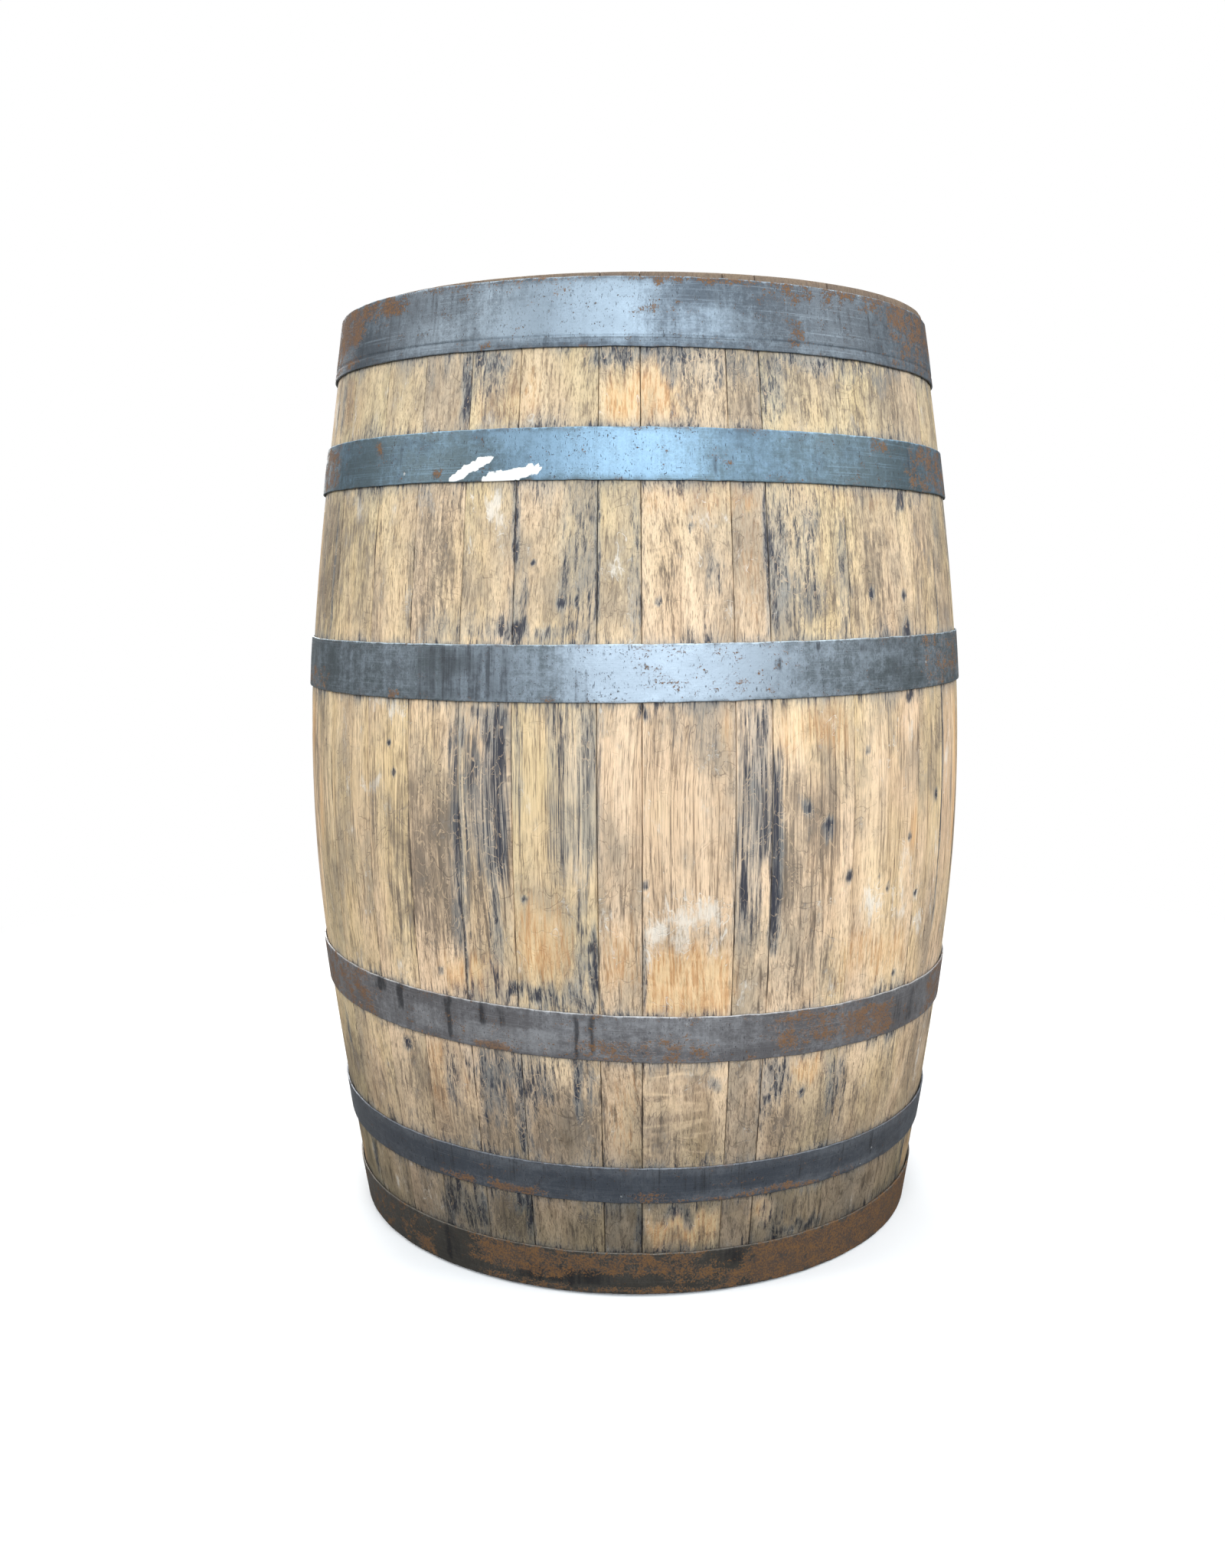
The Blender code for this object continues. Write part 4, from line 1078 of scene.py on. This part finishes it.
    # marks of their own
    streaky = s.sum((lines, 0.95), (fibres, 0.45), (weather, 0.6), -1.0)
    cloudy = s.sum((weather, 1.3), (scuffs, 0.3), (lines, 0.4), -0.85)
    warm_share = s.span(s.sum(warm, (streaky, 0.6)), 0.15, 0.95, 0.0, 0.66)
    colour = s.mix(warm_share, colour, s.mix(s.span(lines, 0.30, 0.70), OAK_GLOW, OAK_WARM))
    pale_share = s.span(s.sum(pale, (cloudy, 1.8)), 0.55, 1.25, 0.0, 0.62)
    colour = s.mix(pale_share, colour, OAK_PALE)
    drawn = s.sum((lines, 1.0), (fibres, 0.7), (runs, 0.9), -1.25)
    grime_seed = s.sum(grime, (cloudy, 0.9), (drawn, 0.8))
    grime_share = s.product(s.span(grime_seed, 0.15, 1.25, 0.0, 0.80), s.span(grime, 0.02, 0.30))
    colour = s.mix(grime_share, colour, OAK_GRIME)
    wash_share = s.product(s.span(s.sum(stain, (streaky, 0.5)), 0.05, 0.85, 0.0, 0.62),
                           s.span(stain, 0.02, 0.20))
    colour = s.mix(wash_share, colour, OAK_WASH)
    stain_share = s.product(s.span(s.sum(stain, (drawn, 1.3)), 0.50, 1.20, 0.0, 0.94),
                            s.span(stain, 0.02, 0.30))
    colour = s.mix(stain_share, colour, OAK_STAIN)
    torn = s.product(hairs, s.span(s.sum(stain, grime), 0.30, 0.90), s.span(lines, 0.30, 0.60), 0.36)
    colour = s.mix(torn, colour, OAK_FLECK)
    seam_share = s.span(s.sum(seam, (streaky, 1.2)), 0.45, 1.05, 0.0, 0.88)
    colour = s.mix(seam_share, colour, OAK_SEAM)

    # painted shade towards the foot, the worn chimes, the end grain, the heads' darker rims and pools, and
    # the charred inside
    if upright:
        # painted shade: the staves darken towards the foot, less where warm marks lie
        foot_shade_seed = s.sum(height, (cloudy, 0.06), (streaky, 0.10))
        foot_shade_share = s.product(s.span(foot_shade_seed, 0.24, 0.02, 0.0, 0.86), s.span(warm, 0.0, 0.9, 1.0, 0.60))
        colour = s.mix(foot_shade_share, colour, OAK_FOOT_SHADE, "MULTIPLY")
        from_middle = s.add("Math", {0: s.sum(height, -HEIGHT / 2)}, operation="ABSOLUTE")
        chime_share = s.span(s.sum(from_middle, (cloudy, 0.004)),
                             HEIGHT / 2 - 0.014, HEIGHT / 2 - 0.006, 0.0, 0.85)
        colour = s.mix(chime_share, colour, OAK_CHIME)
        normal = s.add("NewGeometry", {}, "Normal")
        end_face = s.add("SeparateXYZ", {0: normal}, 2)
        end_face = s.span(s.add("Math", {0: end_face}, operation="ABSOLUTE"), 0.75, 0.95, 0.0, 0.70)
        colour = s.mix(end_face, colour, s.mix(s.span(pores, 0.35, 0.80), OAK_END, OAK_CHIME))
    else:
        place = s.add("TexCoord", {}, "Object")
        out = s.add("VectorMath", {0: s.scaled(place, (1.0, 1.0, 0.0))}, "Value", operation="LENGTH")
        rim_seed = s.sum(out, (cloudy, 0.05), (streaky, 0.02))
        colour = s.mix(s.span(rim_seed, 0.175, 0.290, 0.0, 0.75), colour, OAK_CHIME)
        pool = s.sum(s.noise(place, (5.5, 5.5, 5.5), 5.0, 0.62), (streaky, 0.25))
        colour = s.mix(s.span(pool, 0.58, 0.82, 0.0, 0.62), colour, OAK_GRIME)
        colour = s.mix(s.product(s.threads(pool, 0.030), 0.45), colour, OAK_STAIN)
    colour = s.mix(charred, colour, OAK_CHAR)

    relief = s.sum((lines, 0.50), (fibres, 0.30), (scuffs, -0.35),
                   (hairs, -0.12), (s.span(pores, 0.68, 0.88), -0.4))
    roughness = s.sum(s.span(weather, 0.2, 0.8, 0.60, 0.74), (stain_share, -0.06))
    return s.finish(Base_Color=colour, Roughness=roughness, Specular_IOR_Level=0.28,
                    Normal=s.bump(relief, 0.0006, 0.9))


# Linear colours on the steel
RUST_BRIGHT = (0.200, 0.098, 0.034)
RUST_DARK = (0.078, 0.050, 0.037)
SOOT = (0.020, 0.020, 0.024)
WHITE_PAINT = (0.720, 0.720, 0.700)


def steel_material(name, bare, scale_colour, rustiness):
    """Rolled strip: mill scale, scratches along it, pits, runs of rust, splashes of paint, and painted
    highlights from the light marks and along the upper edge.
    """
    s = Shader(name)
    rust, dark, paint = s.split(s.attribute("marks"))
    light = s.attribute("marks", "Alpha")
    edge, upper_edge_highlight, _ = s.split(s.attribute("traits"))
    grain = s.attribute("grain", "Vector")

    patches = s.noise(grain, (12.0, 20.0, 12.0), 6.0, 0.60)
    streaks = s.noise(grain, (170.0, 9.0, 20.0), 4.0, 0.6)
    scratches = s.noise(grain, (9.0, 1300.0, 14.0), 3.0, 0.6)
    dashes = s.noise(grain, (900.0, 190.0, 900.0), 2.0, 0.5)
    speckle = s.noise(grain, (520.0, 520.0, 520.0), 3.0, 0.6)
    mottle = s.noise(grain, (150.0, 190.0, 150.0), 4.0, 0.6)
    bloom = s.noise(grain, (60.0, 80.0, 52.0), 8.0, 0.72)

    # painted highlight: the light marks turn the steel towards its lighter scale colour and take away its
    # soot
    scale_share = s.sum(s.span(patches, 0.20, 0.80, 0.0, 0.40), (light, 0.80),
                        s.span(streaks, 0.20, 0.85, 0.0, 0.20), s.span(mottle, 0.15, 0.85, -0.14, 0.14),
                        s.span(speckle, 0.15, 0.85, -0.10, 0.10))
    colour = s.mix(s.span(scale_share, 0.0, 1.15), bare, scale_colour)
    colour = s.mix(s.span(scratches, 0.60, 0.90, 0.0, 0.40), colour, scale_colour)
    # painted highlight: the strip's upper edge is lightened past its scale colour, as if catching the
    # light from above
    worn = s.product(s.span(s.sum(upper_edge_highlight, (mottle, 0.6)), 0.65, 1.25), 0.60)
    colour = s.mix(worn, colour, tuple(min(0.9, 2.2 * part) for part in scale_colour))

    pit_share = s.product(s.span(speckle, 0.67, 0.78), s.span(bloom, 0.46, 0.64))
    dash_share = s.product(s.span(dashes, 0.73, 0.88), s.span(mottle, 0.38, 0.62))
    dark_seed = s.sum(dark, (streaks, 1.1), (mottle, 0.5), (speckle, 0.3), -0.95)
    smoke = s.product(s.span(s.sum(patches, (bloom, 0.5)), 0.62, 1.20, 0.0, 0.42),
                      s.span(light, 0.20, 0.80, 1.0, 0.10))
    dark_share = s.largest(s.span(dark_seed, 0.25, 1.05, 0.0, 0.80), s.product(pit_share, 0.80),
                           s.product(dash_share, 0.75), smoke)
    colour = s.mix(dark_share, colour, SOOT)

    rust_seed = s.sum((rust, 0.62), (bloom, 1.0), (speckle, 0.7), rustiness - 1.00)
    rust_share = s.span(rust_seed, 0.25, 0.60)
    edge_rust = s.product(edge, s.span(s.sum(bloom, (speckle, 0.4)), 0.70, 1.05))
    rust_share = s.largest(rust_share, s.product(edge_rust, 0.7))
    rust_colour = s.mix(s.span(s.sum(speckle, (bloom, 0.8)), 0.60, 1.35), RUST_DARK, RUST_BRIGHT)
    colour = s.mix(s.product(rust_share, 0.80), colour, rust_colour)

    paint_seed = s.sum(paint, (scratches, 0.35), (mottle, 0.5), -0.42)
    paint_share = s.span(paint_seed, 0.52, 0.68, 0.0, 0.95)
    splash = s.add("TexVoronoi", {"Vector": s.scaled(grain, (31.0, 31.0, 31.0)), "Scale": 1.0}, "Distance")
    splash = s.product(s.span(splash, 0.030, 0.055, 1.0, 0.0), s.span(bloom, 0.50, 0.62))
    paint_share = s.largest(paint_share, s.product(splash, 0.45))
    colour = s.mix(paint_share, colour, WHITE_PAINT)

    covered = s.largest(rust_share, paint_share)
    metallic = s.span(covered, 0.0, 1.0, 0.65, 0.05)
    roughness = s.sum(s.span(patches, 0.3, 0.7, 0.42, 0.50), (mottle, 0.08),
                      (covered, 0.32), (dark_share, 0.10), (light, -0.04))
    relief = s.sum((mottle, 0.30), (speckle, 0.18), (scratches, 0.10),
                   s.product(rust_share, s.sum(0.2, (speckle, 0.6))), (pit_share, -0.3))
    return s.finish(Base_Color=colour, Metallic=metallic, Roughness=roughness,
                    Specular_IOR_Level=s.span(covered, 0.0, 1.0, 0.50, 0.18),
                    Normal=s.bump(relief, 0.00035, 0.7))


def rivet_material():
    s = Shader("rivet_steel")
    place = s.add("TexCoord", {}, "Object")
    bloom = s.noise(place, (160.0, 160.0, 160.0), 5.0, 0.65)
    speckle = s.noise(place, (900.0, 900.0, 900.0), 2.0, 0.5)
    colour = s.mix(s.span(speckle, 0.4, 0.7), (0.10, 0.105, 0.115), (0.22, 0.23, 0.25))
    rust_share = s.span(s.sum(bloom, (speckle, 0.3)), 0.58, 0.80)
    colour = s.mix(rust_share, colour, s.mix(s.span(speckle, 0.4, 0.6), RUST_DARK, RUST_BRIGHT))
    return s.finish(Base_Color=colour, Metallic=s.span(rust_share, 0.0, 1.0, 0.9, 0.05),
                    Roughness=s.span(rust_share, 0.0, 1.0, 0.42, 0.82),
                    Normal=s.bump(s.sum(speckle, bloom), 0.0003, 0.6))


def poplar_material():
    """The bung: pale wood with mallet dirt on its face."""
    s = Shader("poplar_bung")
    grain = s.attribute("grain", "Vector")
    lines = s.noise(grain, (22.0, 640.0, 640.0), 3.0, 0.6)
    fibres = s.noise(grain, (60.0, 2400.0, 2400.0), 2.0, 0.5)
    dirt = s.noise(grain, (90.0, 90.0, 90.0), 5.0, 0.65)
    colour = s.mix(s.span(lines, 0.38, 0.66), (0.52, 0.38, 0.22), (0.30, 0.19, 0.10))
    colour = s.mix(s.span(fibres, 0.5, 0.75, 0.0, 0.5), colour, (0.20, 0.12, 0.07))
    colour = s.mix(s.span(dirt, 0.50, 0.72, 0.0, 0.75), colour, (0.095, 0.062, 0.052))
    relief = s.sum((lines, 0.6), (fibres, 0.4), (dirt, 0.4))
    return s.finish(Base_Color=colour, Roughness=s.span(dirt, 0.4, 0.7, 0.62, 0.74),
                    Normal=s.bump(relief, 0.0005, 0.8))


# ---- Floor, lights and camera ----

FLOOR_RADIUS = 9.0
FLOOR_GAP = 0.0005
FLOOR_NEAR, FLOOR_FAR = 0.75, 1.60      # where the floor starts and ends fading into the backdrop
ROOM_LIGHT = 0.32


def build_floor():
    """A pale floor that fades into the white backdrop and throws little light back up."""
    bpy.ops.mesh.primitive_circle_add(vertices=96, radius=FLOOR_RADIUS, fill_type="NGON",
                                      location=(0.0, 0.0, -FLOOR_GAP))
    floor = bpy.context.object
    floor.name = "studio_floor"
    s = Shader("studio_floor")
    place = s.add("TexCoord", {}, "Object")
    seen = s.add("LightPath", {}, "Is Camera Ray")
    far = s.span(s.add("VectorMath", {0: place}, "Value", operation="LENGTH"), FLOOR_NEAR, FLOOR_FAR)
    glow = s.product(far, seen)
    mottle = s.noise(place, (5.0, 5.0, 5.0), 3.0)
    pale = s.mix(mottle, (0.86, 0.87, 0.88), (0.89, 0.90, 0.91))
    colour = s.mix(seen, (0.20, 0.20, 0.195), s.mix(far, pale, (0.0, 0.0, 0.0)))
    floor.data.materials.append(s.finish(Base_Color=colour, Roughness=0.8, Specular_IOR_Level=0.0,
                                         Emission_Color=(1.0, 1.0, 1.0), Emission_Strength=glow))


def build_world():
    """A white backdrop to look at, which lights the barrel only dimly."""
    world = bpy.data.worlds.new("studio")
    world.use_nodes = True
    bpy.context.scene.world = world
    tree = world.node_tree
    tree.nodes.clear()
    output = tree.nodes.new("ShaderNodeOutputWorld")
    path = tree.nodes.new("ShaderNodeLightPath")
    mix = tree.nodes.new("ShaderNodeMixShader")
    seen, felt = (tree.nodes.new("ShaderNodeBackground") for _ in range(2))
    seen.inputs["Color"].default_value = (1.0, 1.0, 1.0, 1.0)
    seen.inputs["Strength"].default_value = 1.0
    felt.inputs["Color"].default_value = (0.90, 0.95, 1.0, 1.0)
    felt.inputs["Strength"].default_value = ROOM_LIGHT
    tree.links.new(path.outputs["Is Camera Ray"], mix.inputs[0])
    tree.links.new(felt.outputs[0], mix.inputs[1])
    tree.links.new(seen.outputs[0], mix.inputs[2])
    tree.links.new(mix.outputs[0], output.inputs[0])


def add_softbox(name, place, aim, width, tall, power, colour):
    light = bpy.data.lights.new(name, "AREA")
    light.shape = "RECTANGLE"
    light.size, light.size_y = width, tall
    light.energy = power
    light.color = colour
    softbox = link_new(name, light)
    softbox.location = place
    softbox.rotation_euler = (Vector(aim) - Vector(place)).to_track_quat("-Z", "Y").to_euler()


def build_lights():
    middle = (0.0, 0.0, HEIGHT / 2)
    add_softbox("front_softbox", (0.30, -2.95, 1.60), middle, 3.2, 1.9, 112.0, (0.89, 0.95, 1.0))
    add_softbox("left_softbox", (-2.5, -0.7, 2.2), middle, 1.8, 1.8, 62.0, (1.0, 0.98, 0.95))
    add_softbox("right_softbox", (2.5, -0.7, 2.2), middle, 1.8, 1.8, 62.0, (1.0, 0.98, 0.95))
    add_softbox("top_softbox", (0.0, 0.2, 3.2), (0.0, 0.0, 0.0), 2.4, 2.4, 34.0, (1.0, 0.98, 0.95))
    add_softbox("back_softbox", (-0.8, 3.2, 1.6), middle, 2.6, 1.6, 95.0, (1.0, 0.97, 0.93))


def build_camera():
    pitch, yaw, roll = (math.radians(angle) for angle in (CAMERA_PITCH, CAMERA_YAW, CAMERA_ROLL))
    forward = Vector((math.sin(yaw) * math.cos(pitch), math.cos(yaw) * math.cos(pitch), -math.sin(pitch)))
    level = Vector((math.cos(yaw), -math.sin(yaw), 0.0))
    upright = level.cross(forward)
    right = math.cos(roll) * level + math.sin(roll) * upright
    up = -math.sin(roll) * level + math.cos(roll) * upright
    data = bpy.data.cameras.new("camera")
    data.lens = CAMERA_LENS
    data.clip_start = 0.05
    camera = link_new("camera", data)
    camera.matrix_world = Matrix((right, up, -forward)).transposed().to_4x4()
    camera.location = (0.0, -CAMERA_DISTANCE, CAMERA_HEIGHT)
    bpy.context.scene.camera = camera


def build_barrel():
    oak = oak_material("stave_oak")
    staves = sorted(name for name in NODES if name.startswith("stave_") or name == "bung_stave")
    for index, name in enumerate(staves):
        build_stave(name, index, oak)
    head_oak = oak_material("head_oak", 0.8, upright=False)
    for prefix in ("bottom_head", "top_head"):
        build_head(prefix, head_oak)
    rivet_steel = rivet_material()
    for index, name in enumerate(HOOPS):
        build_hoop(name, index, steel_material(name + "_steel", *HOOP_FINISH[name]))
        for number in (1, 2):
            build_rivet(name, number, rivet_steel)
    build_bung(poplar_material())


bpy.context.scene.view_settings.view_transform = "Standard"
build_camera()
build_world()
build_lights()
build_floor()
build_barrel()
